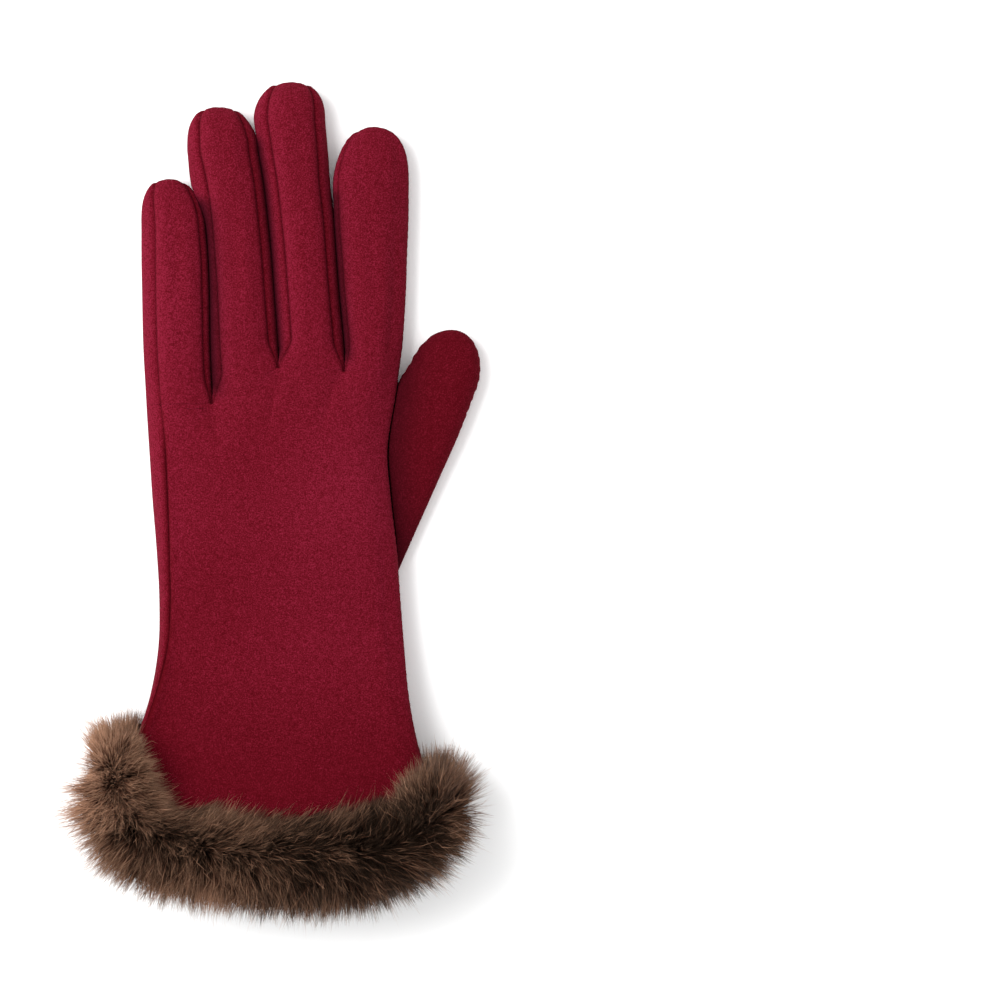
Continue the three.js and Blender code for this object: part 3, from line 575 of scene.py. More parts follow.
def panelMesh(name, quads):
    edges = openEdges(quads)
    ids = np.unique(quads)
    place = np.full(len(surface), -1)
    place[ids] = np.arange(len(ids))
    points, normals = surface[ids], surfaceNormals[ids]

    distance, run = fromSeams(points, edges)
    belowKnuckles = ramp((shell["knuckleLeft"] - points[:, 1]) / seams["outerFade"])
    strong = 1 + seams["outer"] * belowKnuckles * (points[:, 0] < 0)
    turns = 2 * math.pi * run / seams["puckerEvery"] + np.sin(run / seams["puckerDrift"])
    stitch = 1 - seams["pucker"] * (0.5 + 0.5 * np.sin(turns))
    shift = strong * seams["ridge"] * stitch * hump(distance - seams["ridgeAt"], seams["ridgeWidth"])
    shift = shift - strong * seams["depth"] * hump(distance, seams["width"]) + clothFolds(points, normals)

    pull = np.zeros_like(points)  # the cut edges draw apart a little
    direction = unit(surface[edges[:, 1]] - surface[edges[:, 0]])
    for end in (0, 1):
        across = unit(np.cross(surfaceNormals[edges[:, end]], direction))
        np.add.at(pull, place[edges[:, end]], across)
    onEdge = np.linalg.norm(pull, axis=1) > 0.1
    pull[onEdge] = unit(pull[onEdge]) * shell["cutGap"] / 2
    outside = points + normals * shift[:, None] + pull
    outside[:, 2] = np.maximum(outside[:, 2], 0)
    inside = outside - normals * shell["wall"]
    inside[:, 2] = np.maximum(inside[:, 2], outside[:, 2].clip(*shell["insideOver"]))

    outer = place[quads]
    inner = outer[:, ::-1] + len(ids)
    a, b = place[edges[:, 0]], place[edges[:, 1]]
    rim = np.stack([b, a, a + len(ids), b + len(ids)], -1)
    mesh = meshOf(name, np.concatenate([outside, inside]), np.concatenate([outer, rim, inner]).tolist())
    lined = sum(len(set(corners)) > 2 for corners in inner.tolist())
    slots = np.zeros(len(mesh.polygons), int)
    slots[len(mesh.polygons) - lined :] = 1
    mesh.polygons.foreach_set("material_index", slots)
    addAttribute(mesh, "seamNear", np.tile(strong * hump(distance, seams["darkWidth"]), 2))
    # painted light and shade on the cloth, with soft lighter and darker patches
    addAttribute(mesh, "paintedLightAndTone", np.tile(paintedLightAndToneAt(points, normals), 2))
    # painted shade between the fingers
    addAttribute(mesh, "deep", np.tile(deepIn(points), 2))
    return mesh


# The thumb, a tube that leans out from the palm

thumbTable = {  # along its own axis: middle line, half width, height of its edges and of its top
    "y": [-8, 4, 16, 28, 40, 54],
    "middle": [29.6, 29.3, 29.4, 29.9, 30.6, 31.3],
    "half": [13.2, 13.4, 13.3, 12.8, 12.1, 10.7],
    "edge": [4.0, 4.0, 4.1, 4.3, 4.6, 4.7],
    "top": [7.6, 7.8, 8.2, 9.0, 9.8, 10.0],
}
thumb = {
    "lean": 24, "wall": 1.6,
    "tip": 68.9, "round": 14.9, "tipMiddle": 30.9,
    "squareness": 2.4, "tipFullness": 0.8, "underFlatness": 1.15,
    "around": 76, "rows": 56, "tipRows": 24,
    "tipClosing": 0.985,  # share of the quarter turn, so that the last ring keeps a little width
    "gather": 0.12, "gatherEvery": 2.9,  # the little puckers round its tip
    "gatherFrom": 34, "gatherOver": 16,  # mm where they set in
    "gatherKeenness": 6,  # how near its edges they stay
    "gatherRun": (0.9, 0.5),  # how much of the way along it and across it counts between two of them
    "paintedLightAndTone": -0.32,  # painted shade, darker than the palm where it faces up
    "deep": 0.72, "deepWidth": 7.0,  # painted shade beside the body, and mm over which it fades
    "upFrom": 0.5,  # only where it faces up at least so much do both count in full
}
filling = {  # mm that the solid for cutting stands out from the shell and from its hem
    "fitGap": 0.35, "hemClear": 1.7, "hemRow": 3,  # the row by which the hem's direction is told
}


def thumbRings(inset, gather):  # its skin, or its hollow when inset by the wall
    roundFrom = thumb["tip"] - thumb["round"]
    lean = math.radians(thumb["lean"])
    angle = np.linspace(0, 2 * math.pi, thumb["around"], endpoint=False)
    cos, sin = (np.sign(v) * np.abs(v) ** (2 / thumb["squareness"]) for v in (np.cos(angle), np.sin(angle)))
    rings = []
    for r in range(thumb["rows"] + thumb["tipRows"] + 1):
        swing = max(0, r - thumb["rows"]) / thumb["tipRows"] * thumb["tipClosing"] * math.pi / 2
        y = mix(thumbTable["y"][0], roundFrom, r / thumb["rows"])
        if swing > 0:
            y = roundFrom + (thumb["round"] - inset) * math.sin(swing)
        level = min(y, roundFrom)
        edge, top, wide, centre = (
            float(lookUp(thumbTable, name, level)) for name in ("edge", "top", "half", "middle")
        )
        centre = mix(centre, thumb["tipMiddle"], float(ramp((y - roundFrom) / thumb["round"])))
        wide = (wide - inset) * math.cos(swing)
        onEdge = np.abs(cos) ** thumb["gatherKeenness"]
        onEdge = onEdge * float(ramp((y - thumb["gatherFrom"]) / thumb["gatherOver"]))
        run = y * thumb["gatherRun"][0] + wide * cos * thumb["gatherRun"][1]
        bump = gather * np.sin(2 * math.pi * run / thumb["gatherEvery"]) * onEdge
        below = (edge - inset) * np.maximum(-1, sin * thumb["underFlatness"])
        rise = np.where(sin > 0, (top - edge - inset) * sin, below)
        across = centre - (wide + bump) * cos
        rings.append(np.stack([
            across * math.cos(lean) + y * math.sin(lean),
            -across * math.sin(lean) + y * math.cos(lean),
            edge + rise * math.cos(swing) ** thumb["tipFullness"],
        ], -1))
    return np.array(rings)


def filledShell():  # the shell as one solid, a little larger, with its mouth closed between the two hems
    grown = surface + surfaceNormals * filling["fitGap"]
    rows = {}
    for sheet, points in body.items():
        ids = [idOf[tuple(key)] for key in stitchKeys(points[0]).tolist()]
        back = unit(points[0] - points[filling["hemRow"]])
        grown[ids] = surface[ids] + surfaceNormals[ids] * filling["fitGap"] + back * filling["hemClear"]
        rows[sheet] = ids
    top, under, left, right = (rows[sheet] for sheet in ("top", "under", "left", "right"))
    mouth = [list(corners) for corners in zip(top[1:], top[:-1], under[:-1], under[1:])]
    mouth += [[left[0], left[k], left[k + 1]] for k in range(1, len(left) - 1)]
    mouth += [[right[0], right[k + 1], right[k]] for k in range(1, len(right) - 1)]
    return meshOf("filledShell", grown, shellQuads.tolist() + mouth)


# Materials

def linear(code):  # an sRGB hex colour as Blender's linear values
    channels = [int(code[k : k + 2], 16) / 255 for k in (1, 3, 5)]
    return [c / 12.92 if c <= 0.04045 else ((c + 0.055) / 1.055) ** 2.4 for c in channels] + [1.0]


def socketOf(sockets, key):
    if isinstance(key, int):
        return sockets[key]
    return next(s for s in sockets if s.name == key and s.enabled)


def addNode(tree, kind, inputs=None, stops=None, **settings):  # a node with its settings, values and links
    node = tree.nodes.new(kind)
    for key, value in settings.items():
        setattr(node, key, value)
    if stops:
        elements = node.color_ramp.elements
        for element, (position, code) in zip(elements, (stops[0], stops[-1])):
            element.position, element.color = position, linear(code)
        for position, code in stops[1:-1]:
            elements.new(position).color = linear(code)
    for key, value in (inputs or {}).items():
        socket = socketOf(node.inputs, key)
        if isinstance(value, bpy.types.NodeSocket):
            tree.links.new(value, socket)
        elif isinstance(value, bpy.types.Node):
            tree.links.new(next(s for s in value.outputs if s.enabled), socket)
        elif isinstance(value, str) and value.startswith("#"):
            socket.default_value = linear(value)
        else:
            socket.default_value = value
    return node


def newMaterial(name, look, coloured=None):  # coloured adds the nodes of its colour, and those of its bump
    material = bpy.data.materials.new(name)
    material.use_nodes = True
    tree = material.node_tree
    tree.nodes.clear()
    patterned = coloured(tree) if coloured else {}
    shader = addNode(tree, "ShaderNodeBsdfPrincipled", {**patterned, **look["surface"]})
    addNode(tree, "ShaderNodeOutputMaterial", {"Surface": shader})
    return material


suede = {  # brushed knit with a short nap: no gloss, a soft bloom where it turns away from the eye
    "stops": [(0, "#45020a"), (0.5, "#5a0a18"), (1, "#75182d")],
    "deep": "#190106", "deepShare": 0.8,  # painted shade, mixed in between the fingers and on the thumb beside the body, where little light comes
    # specks of the nap, 0.39 mm; the real fibres are ten times finer and wouldn't show
    "grain": {"Scale": 1 / (0.39 * mm), "Detail": 3.0, "Roughness": 0.6}, "grainShare": 2.75,
    # 1.7 mm wide, where the nap has been stroked one way or the other
    "cloud": {"Scale": 1 / (1.7 * mm), "Detail": 3.0, "Roughness": 0.55}, "cloudShare": 0.45,
    "seamShare": 0.3,
    "fine": {"Scale": 1 / (0.195 * mm), "Detail": 2.0}, "coarseShare": 0.6,  # the bump has finer specks too
    "bump": {"Strength": 0.3, "Distance": 0.08 * mm},
    "surface": {
        "Roughness": 0.92, "Specular IOR Level": 0.04,
        "Sheen Weight": 0.05, "Sheen Roughness": 0.5, "Sheen Tint": "#a83a50",
    },
}


def suedeColour(tree):
    place = addNode(tree, "ShaderNodeTexCoord").outputs["Object"]
    seamNear, paintedLightAndTone, deep = (
        addNode(tree, "ShaderNodeAttribute", attribute_name=name).outputs["Fac"]
        for name in ("seamNear", "paintedLightAndTone", "deep")
    )
    grain, cloud, fine = (
        addNode(tree, "ShaderNodeTexNoise", {"Vector": place, **suede[name]})
        for name in ("grain", "cloud", "fine")
    )
    # the tone takes the grain, the clouds, the painted light and shade, and the darker seams
    shares = {
        grain: suede["grainShare"], cloud: suede["cloudShare"], paintedLightAndTone: 1.0, seamNear: -suede["seamShare"],
    }
    tone = (1 - suede["grainShare"] - suede["cloudShare"]) / 2  # so that specks and clouds keep to the middle
    for value, share in shares.items():
        tone = addNode(tree, "ShaderNodeMath", {0: value, 1: share, 2: tone}, operation="MULTIPLY_ADD")
    tone.use_clamp = True
    dyed = addNode(tree, "ShaderNodeValToRGB", {"Fac": tone}, stops=suede["stops"])
    # painted shade mixed into the colour, between the fingers and beside the thumb's base
    shaded = addNode(tree, "ShaderNodeMath", {0: deep, 1: suede["deepShare"]}, operation="MULTIPLY")
    colour = addNode(tree, "ShaderNodeMix", {
        "Factor": shaded, "A": dyed.outputs["Color"], "B": suede["deep"],
    }, data_type="RGBA")
    height = addNode(tree, "ShaderNodeMath", {
        0: grain, 1: suede["coarseShare"], 2: fine,
    }, operation="MULTIPLY_ADD")
    bump = addNode(tree, "ShaderNodeBump", {"Height": height, **suede["bump"]})
    return {"Base Color": colour, "Normal": bump}


lining = {  # knit with a brushed inner side: quite dull, with a woolly bloom
    "stops": [(0.3, "#330812"), (0.7, "#5a1020")],
    "fleece": {"Scale": 1 / (1.6 * mm), "Detail": 4.0},
    "bump": {"Strength": 0.5, "Distance": 0.4 * mm},
    "surface": {
        "Roughness": 1.0, "Specular IOR Level": 0.15, "Sheen Weight": 0.2, "Sheen Tint": "#8a3345",
    },
}


def liningColour(tree):
    place = addNode(tree, "ShaderNodeTexCoord").outputs["Object"]
    fleece = addNode(tree, "ShaderNodeTexNoise", {"Vector": place, **lining["fleece"]})
    dyed = addNode(tree, "ShaderNodeValToRGB", {"Fac": fleece}, stops=lining["stops"])
    bump = addNode(tree, "ShaderNodeBump", {"Height": fleece, **lining["bump"]})
    return {"Base Color": dyed, "Normal": bump}


pile = {  # acrylic fibre: dark at the root, lighter and browner at the tips, with a soft brown gloss
    "stops": [(0.1, "#120905"), (0.5, "#3f281e"), (0.95, "#80624f")],
    "patches": {"Scale": 1 / (11 * mm), "Detail": 2.0}, "patchShare": 0.7,  # uneven dye, 11 mm wide
    "light": {"From Min": 0.35, "From Max": 1.6, "To Min": 0.1, "To Max": 2.5}, "saturation": 1.02,
    "surface": {"Roughness": 0.38, "Specular IOR Level": 0.30, "Specular Tint": "#c8a890"},
}


def pileColour(tree):
    place = addNode(tree, "ShaderNodeTexCoord").outputs["Object"]
    along, tone, pileLightAndTone = (
        addNode(tree, "ShaderNodeAttribute", attribute_name=name).outputs["Fac"]
        for name in ("along", "tone", "pileLightAndTone")
    )
    patches = addNode(tree, "ShaderNodeTexNoise", {"Vector": place, **pile["patches"]})
    dyed = addNode(tree, "ShaderNodeValToRGB", {"Fac": along}, stops=pile["stops"])
    wild = addNode(tree, "ShaderNodeMath", {
        0: patches, 1: pile["patchShare"], 2: tone,
    }, operation="MULTIPLY_ADD")
    # painted light and shade lift or darken each strand
    wild = addNode(tree, "ShaderNodeMath", {0: wild, 1: pileLightAndTone}, operation="ADD")
    light = addNode(tree, "ShaderNodeMapRange", {"Value": wild, **pile["light"]})
    toned = addNode(tree, "ShaderNodeHueSaturation", {
        "Color": dyed, "Value": light, "Saturation": pile["saturation"],
    })
    return {"Base Color": toned}


ground = {  # the knit that holds the pile, thick with the fibres' roots: nearly black, hardly any gloss
    "stops": [(0, "#120905"), (1, "#1b120d")],
    "patches": {"Scale": 1 / (11 * mm), "Detail": 2.0},  # uneven dye, 11 mm wide
    "surface": {"Roughness": 0.95, "Specular IOR Level": 0.1, "Specular Tint": "#c8a890"},
}


def groundColour(tree):
    place = addNode(tree, "ShaderNodeTexCoord").outputs["Object"]
    patches = addNode(tree, "ShaderNodeTexNoise", {"Vector": place, **ground["patches"]})
    return {"Base Color": addNode(tree, "ShaderNodeValToRGB", {"Fac": patches}, stops=ground["stops"])}


suedeCloth = newMaterial("brushed faux suede", suede, suedeColour)
liningCloth = newMaterial("brushed knit lining", lining, liningColour)
pileStrand = newMaterial("acrylic pile fibre", pile, pileColour)
pileGround = newMaterial("dense underfur on knit backing", ground, groundColour)
print("materials made")


# The panels and the thumb, in place of the CAD's plain ones


def clothPiece(mesh, node):
    piece = addObject(mesh)
    dress(piece, node)


def thumbMesh(cutters):
    mesh = loftMesh("thumb_cloth", thumbRings(0, thumb["gather"]), False)
    mesh.materials.append(suedeCloth)
    mesh = cutBy(mesh, cutters)
    points = np.array([vertex.co for vertex in mesh.vertices]) / mm
    up = ramp(np.array([vertex.normal.z for vertex in mesh.vertices]) / thumb["upFrom"])
    fromBody = np.maximum(0, points[:, 0] - lookUp(bodyTable, "right", points[:, 1]))
    # painted shade on its top, and painted shade beside the body
    addAttribute(mesh, "paintedLightAndTone", thumb["paintedLightAndTone"] * up)
    addAttribute(mesh, "deep", thumb["deep"] * up * hump(fromBody, thumb["deepWidth"]))
    return mesh


filled = addObject(filledShell(), suedeCloth)
thumbHollow = addObject(loftMesh("thumbHollow", thumbRings(thumb["wall"], 0), False), liningCloth)
for node, quads in panelQuads.items():
    cloth = panelMesh(node + "_cloth", quads)
    cloth.materials.append(suedeCloth)
    cloth.materials.append(liningCloth)
    clothPiece(cutBy(cloth, [thumbHollow]) if node == "palm_panel" else cloth, node)
clothPiece(thumbMesh([thumbHollow, filled]), "thumb")
print("cloth panels and thumb made")


# The fur cuff: a backing that rolls over the hem, and its pile

cuff = {
    "depth": {"top": 9.4, "left": 9.5, "right": 5.0, "under": 7.0},  # how far the roll stands out, mm
    "rings": 240, "even": 5,  # places round the hem, and over how many on both sides they are evened out
    "aheadRow": 4, "aheadRing": 2,  # the row and the ring by which the hem's directions are told
    "fineness": 4,  # faces for each row of the table of rows
    "sectors": 6,  # the pile comes in pieces, each under 200,000 triangles
}
hemTable = {  # by the share of the way round the hem: left edge, over the top, right edge, back underneath
    "round": [0, 0.05, 0.1, 0.14, 0.2, 0.25, 0.32, 0.375, 0.425, 0.45, 0.5, 0.55, 0.85, 0.925, 0.975, 1],
    # mm that the fur covers of the shell, and mm that it reaches beyond the hem
    "cover": [1.0, 1.5, 11.0, 9.4, 8.2, 12.4, 15.2, 17.4, 5.6, 2.5, 10.5, 10.5, 11.0, 10.5, 9.5, 1.0],
    "edge": [8.5, 10.5, 7.8, 7.7, 7.6, 7.2, 6.2, 4.0, 7.0, 9.5, 7.0, 7.0, 7.0, 7.0, 7.0, 7.0],
    # mm from the hem to where the hair parts, and mm over which it turns there
    "parting": [-7.0, -5.0, 2.0, 1.5, 0.5, 4.0, 5.5, 5.0, 0.5, -4.5, -8.0, -3.0, -3.0, -4.0, -8.0, -7.0],
    "turning": [7.0, 5.5, 4.0, 3.5, 3.5, 3.5, 3.5, 3.5, 5.0, 7.0, 11.0, 8.0, 8.0, 9.0, 11.0, 9.0],
    # shares of the row's sweep, and of its length on both sides of the parting
    "swept": [0.6, 0.9, 1.3, 1.6, 1.3, 1.1, 1.1, 1.2, 1.5, 1.6, 0.8, 0.5, 0.5, 0.5, 0.5, 0.6],
    "longOver": [0.70, 0.76, 1.16, 1.04, 1.0, 1.06, 1.06, 1.0, 0.9, 0.78, 0.98, 0.62, 0.62, 0.8, 0.8, 0.70],
    "longBeyond": [1.5, 1.62, 1.08, 1.02, 1.0, 1.0, 0.92, 0.85, 1.16, 1.3, 0.86, 0.62, 0.62, 0.8, 1.2, 1.4],
}
pileRows = {  # across the roll: over the shell, round the crest, round the free edge into the mouth
    "over": [0.82, 0.64, 0.40, 0.16, 0, 0, 0, 0, 0, 0, 0],  # share of the cover
    "beyond": [0, 0, 0, 0, 0.12, 0.40, 0.70, 0.92, 1.0, 0.93, 0.72],  # share of the edge
    "out": [0.03, 0.26, 0.50, 0.64, 0.70, 0.64, 0.48, 0.22, 0.0, -0.16, -0.26],  # share of the depth
    "least": [90, 90, 90, 90, 90, 90, -30, -66, -92, -126, -150],  # degrees: no hair leans back over the edge
    "sweep": [0.8, 0.75, 0.6, 0.45, 0.3, 0.15, 0.1, 0, 0, 0, 0],  # towards the thumb's side, on top
    "length": [9.5, 11.5, 13.0, 14.0, 15.0, 15.0, 13.5, 12.0, 10.0, 6.0, 4.0],  # mm
    "density": [1.0, 1.0, 1.0, 1.0, 1.0, 1.0, 1.0, 0.9, 0.7, 0.4, 0.2],
}
backingInside = {"over": [0, 0, 0.05], "beyond": [0.6, 0.34, 0], "out": [-0.26, -0.1, -0.1]}


def hemPoints(row):  # a row of the body's, once round
    there = [body[sheet][row][:-1] for sheet in ("top", "right")]
    return np.concatenate(there + [body[sheet][row][::-1][:-1] for sheet in ("under", "left")])


def cuffFrames():  # evenly spaced places round the hem, each with its directions and sizes
    feet = hemPoints(0)
    spans = np.linalg.norm(np.diff(np.concatenate([feet, feet[:1]]), axis=0), axis=1)
    run = np.append(0, np.cumsum(spans))
    at = np.linspace(0, run[-1], cuff["rings"], endpoint=False)

    def evenly(points):
        closed = np.concatenate([points, points[:1]])
        return np.stack([np.interp(at, run, closed[:, axis]) for axis in range(3)], -1)

    def average(values):
        near = range(-cuff["even"], cuff["even"] + 1)
        return sum(np.roll(values, -n, axis=0) for n in near) / len(near)

    foot, ahead = evenly(feet), evenly(hemPoints(cuff["aheadRow"]))
    around = unit(np.roll(foot, -cuff["aheadRing"], axis=0) - np.roll(foot, cuff["aheadRing"], axis=0))
    out = unit(np.cross(around, ahead - foot))
    along = np.cross(out, around)
    up, down, side = np.maximum(0, out[:, 2]) ** 2, np.minimum(0, out[:, 2]) ** 2, out[:, 0] ** 2
    sideDepth = np.where(out[:, 0] < 0, cuff["depth"]["left"], cuff["depth"]["right"])
    depth = up * cuff["depth"]["top"] + down * cuff["depth"]["under"] + side * sideDepth
    depth = depth / (up + down + side)
    ways = [unit(average(values)) for values in (along, out, around)]
    share = np.arange(cuff["rings"]) / cuff["rings"]
    sizes = {name: average(np.interp(share, hemTable["round"], values)) for name, values in hemTable.items()}
    return foot, *ways, average(depth), sizes


cuffFoot, alongWay, outWay, aroundWay, cuffDepth, hemSizes = cuffFrames()


def cuffRows(table):  # the table's rows drawn out finer
    count = len(table["out"])
    at = np.linspace(0, count - 1, (count - 1) * cuff["fineness"] + 1)
    return {name: np.interp(at, np.arange(count), values) for name, values in table.items()}


def fromHem(rows):  # mm towards the fingers, for each ring and row
    return hemSizes["cover"][:, None] * rows["over"] - hemSizes["edge"][:, None] * rows["beyond"]


def cuffPoints(rows):
    aside = alongWay[:, None] * fromHem(rows)[..., None]
    return cuffFoot[:, None] + aside + outWay[:, None] * (rows["out"] * cuffDepth[:, None])[..., None]


faceRows = cuffRows(pileRows)
face = cuffPoints(faceRows)
backingRings = np.concatenate([face, cuffPoints(cuffRows(backingInside))], axis=1)
backingMesh = cutBy(loftMesh("fur_cuff_backing", backingRings, True), [filled])
backingMesh.materials.clear()
backing = addObject(backingMesh, pileGround)
dress(backing, "fur_cuff")
print("cuff backing made")


# The pile: how it grows on the face of the roll

growth = {
    "combed": 78,  # degrees from upright at which the hair lies away from the parting
    "whirl": 0.20, "whirlSize": 11.0,  # how far the pile turns aside in patches, and mm across a patch
    "tuft": 2.2, "tuftTurn": 0.15,  # mm across a tuft, and how far it leans its own way
    "shortest": 0.62, "longest": 1.14,
    "partedWidth": 2.4, "partedPaintedShade": -0.25, "partedShort": 0.25,  # painted shade along the parting, where the dark roots show
    "partedOver": 4,  # mm over which the length changes from one side of the parting to the other
    "underneath": 0.4,  # share of the density where it faces down
}
whorls = [  # where the pile turns away all round: place, radius in mm, strength
    {"x": -17.7, "y": -102.3, "radius": 6, "push": 0.6},
]
paintedLightAndRootPatches = [  # painted light on the left end, painted shade where the pile folds on the right, and darker parted roots; lighter above nought
    {"x": -55, "y": -82, "radius": 13, "lift": 0.85},
    {"x": -48, "y": -85, "radius": 8, "lift": 0.7},
    {"x": -17, "y": -113, "radius": 10, "lift": 0.35},
    {"x": -52, "y": -99, "radius": 12, "lift": 0.2},
    {"x": 2, "y": -119, "radius": 15, "lift": -0.28},
    {"x": -38, "y": -82, "radius": 7, "lift": -0.3},
    {"x": 42, "y": -99, "radius": 7, "lift": -0.6},
    {"x": 28, "y": -102, "radius": 8, "lift": -0.5},
    {"x": 8, "y": -103, "radius": 10, "lift": -0.32},
    {"x": 33, "y": -96, "radius": 8, "lift": -0.15},
    {"x": 30, "y": -114, "radius": 12, "lift": -0.2},
]
fromParting = fromHem(faceRows) - hemSizes["parting"][:, None]
facingUp = np.clip(outWay[:, None, 2], 0, 1)
atParting = hump(fromParting, growth["partedWidth"]) * facingUp


def pileWays():  # which way the pile grows at each point of the face
    lean = growth["combed"] * np.tanh(fromParting / hemSizes["turning"][:, None])
    lean = np.radians(np.minimum(lean, faceRows["least"]))[..., None]
    way = outWay[:, None] * np.cos(lean) + alongWay[:, None] * np.sin(lean)
    way = way + aroundWay[:, None] * (faceRows["sweep"] * hemSizes["swept"][:, None] * facingUp)[..., None]
    for whorl in whorls:
        offset = face[..., :2] - [whorl["x"], whorl["y"]]
        push = whorl["push"] * hump(np.linalg.norm(offset, axis=-1), whorl["radius"]) * facingUp
        way[..., :2] += offset / whorl["radius"] * push[..., None]
    return unit(way)


def pileLengths():
    over = ramp(0.5 + fromParting / growth["partedOver"])
    share = mix(hemSizes["longBeyond"][:, None], hemSizes["longOver"][:, None], over)
    return faceRows["length"] * share * (1 - growth["partedShort"] * atParting) * mm


facingDown = np.clip(-outWay[:, None, 2], 0, 1)
pileGrowth = {
    "pileDensity": faceRows["density"] * mix(1.0, growth["underneath"], facingDown),
    "pileLength": pileLengths(),
    "pileWay": pileWays(),
}
# painted light and shade over the pile, and painted shade along the partings
pilePaintedShading = liftOf(face, paintedLightAndRootPatches) + growth["partedPaintedShade"] * atParting


# The pile's own geometry nodes: strands on the face of the roll

strandShape = {
    "fullness": 2.6,  # how long a strand keeps its width before it tapers
    "tuftTone": 0.3, "ownTone": 0.7,  # how much lighter a tuft and a strand may be than the next
    "curlSize": 2.6,  # mm
    "curlPower": 2.0, "clumpPower": 1.4,  # how near the tip strands bend and tufts draw together
    "tableClear": 0.2,  # mm
    "turnSeed": 11, "lengthSeed": 23, "toneSeed": 37,
}
noiseMiddle = (0.5, 0.5, 0.5)
noiseReach, colourReach = 4.0, 2.0  # noise strays a quarter from its middle, a tuft's random colour a half


def oneStrand(tree, joints, place):  # three sides, full until half way and then tapering to its tip
    cone = addNode(tree, "GeometryNodeMeshCone", {
        "Vertices": 3, "Side Segments": joints, "Radius Top": 0.0, "Radius Bottom": 1.0, "Depth": 1.0,
    }, fill_type="NGON")
    height = addNode(tree, "ShaderNodeSeparateXYZ", {"Vector": place}).outputs["Z"]
    cone = addNode(tree, "GeometryNodeStoreNamedAttribute", {
        "Geometry": cone, "Name": "along", "Value": height,
    }, data_type="FLOAT", domain="POINT")
    toTip = addNode(tree, "ShaderNodeMath", {0: 1.0, 1: height}, operation="SUBTRACT")
    fuller = addNode(tree, "ShaderNodeMath", {0: height, 1: toTip}, operation="MULTIPLY")
    fuller = addNode(tree, "ShaderNodeMath", {0: fuller, 1: strandShape["fullness"]}, operation="MULTIPLY")
    aside = addNode(tree, "ShaderNodeVectorMath", {0: place, 1: (1.0, 1.0, 0.0)}, operation="MULTIPLY")
    aside = addNode(tree, "ShaderNodeVectorMath", {"Vector": aside, "Scale": fuller}, operation="SCALE")
    return addNode(tree, "GeometryNodeSetPosition", {"Geometry": cone, "Offset": aside})


def strandPoints(tree, given, stored, place):  # where strands stand, which way, how long and how light
    crowd = addNode(tree, "ShaderNodeMath", {
        0: stored["pileDensity"], 1: given["Strands per square metre"],
    }, operation="MULTIPLY")
    points = addNode(tree, "GeometryNodeDistributePointsOnFaces", {
        "Mesh": given["Backing"], "Density": crowd, "Seed": given["Seed"],
    }, distribute_method="RANDOM")

    # patches whirl, tufts lean their own way, single strands stray
    noise = addNode(tree, "ShaderNodeTexNoise", {
        "Vector": place, "Scale": 1 / (growth["whirlSize"] * mm), "Detail": 1.0,
    })
    tuft = addNode(tree, "ShaderNodeTexVoronoi", {"Vector": place, "Scale": 1 / (growth["tuft"] * mm)})
    turns = []
    for source, reach in ((noise, noiseReach * growth["whirl"]), (tuft, colourReach * growth["tuftTurn"])):
        turn = addNode(tree, "ShaderNodeVectorMath", {
            0: source.outputs["Color"], 1: noiseMiddle,
        }, operation="SUBTRACT")
        turn = addNode(tree, "ShaderNodeVectorMath", {"Vector": turn, "Scale": reach}, operation="SCALE")
        turns.append(turn)
    stray = addNode(tree, "FunctionNodeRandomValue", {
        "Min": (-1.0, -1.0, -1.0), "Max": (1.0, 1.0, 1.0), "Seed": strandShape["turnSeed"],
    }, data_type="FLOAT_VECTOR")
    stray = addNode(tree, "ShaderNodeVectorMath", {
        "Vector": stray, "Scale": given["Frizz"],
    }, operation="SCALE")
    whirled = addNode(tree, "ShaderNodeVectorMath", {0: stored["pileWay"], 1: turns[0]}, operation="ADD")
    strayed = addNode(tree, "ShaderNodeVectorMath", {0: turns[1], 1: stray}, operation="ADD")
    way = addNode(tree, "ShaderNodeVectorMath", {0: whirled, 1: strayed}, operation="ADD")
    way = addNode(tree, "ShaderNodeVectorMath", {0: way}, operation="NORMALIZE")

    chance = addNode(tree, "FunctionNodeRandomValue", {
        "Min": growth["shortest"], "Max": growth["longest"], "Seed": strandShape["lengthSeed"],
    }, data_type="FLOAT")
    length = addNode(tree, "ShaderNodeMath", {
        0: stored["pileLength"], 1: given["Length"],
    }, operation="MULTIPLY")
    length = addNode(tree, "ShaderNodeMath", {0: length, 1: chance}, operation="MULTIPLY")
    own = addNode(tree, "FunctionNodeRandomValue", {
        "Min": 0.0, "Max": 1.0, "Seed": strandShape["toneSeed"],
    }, data_type="FLOAT")
    ofTuft = addNode(tree, "ShaderNodeSeparateXYZ", {"Vector": tuft.outputs["Color"]}).outputs["X"]
    own = addNode(tree, "ShaderNodeMath", {0: own, 1: strandShape["ownTone"]}, operation="MULTIPLY")
    tone = addNode(tree, "ShaderNodeMath", {0: ofTuft, 1: strandShape["tuftTone"]}, operation="MULTIPLY")
    tone = addNode(tree, "ShaderNodeMath", {0: tone, 1: own}, operation="ADD")
    toTuft = addNode(tree, "ShaderNodeVectorMath", {
        0: tuft.outputs["Position"], 1: place,
    }, operation="SUBTRACT")
    kept = {
        "tone": (tone, "FLOAT"), "toTuft": (toTuft, "FLOAT_VECTOR"),
        "strandLength": (length, "FLOAT"), "strandWay": (way, "FLOAT_VECTOR"),
    }
    for name, (value, kind) in kept.items():
        points = addNode(tree, "GeometryNodeStoreNamedAttribute", {
            "Geometry": points, "Name": name, "Value": value,
        }, data_type=kind, domain="POINT")
    return points


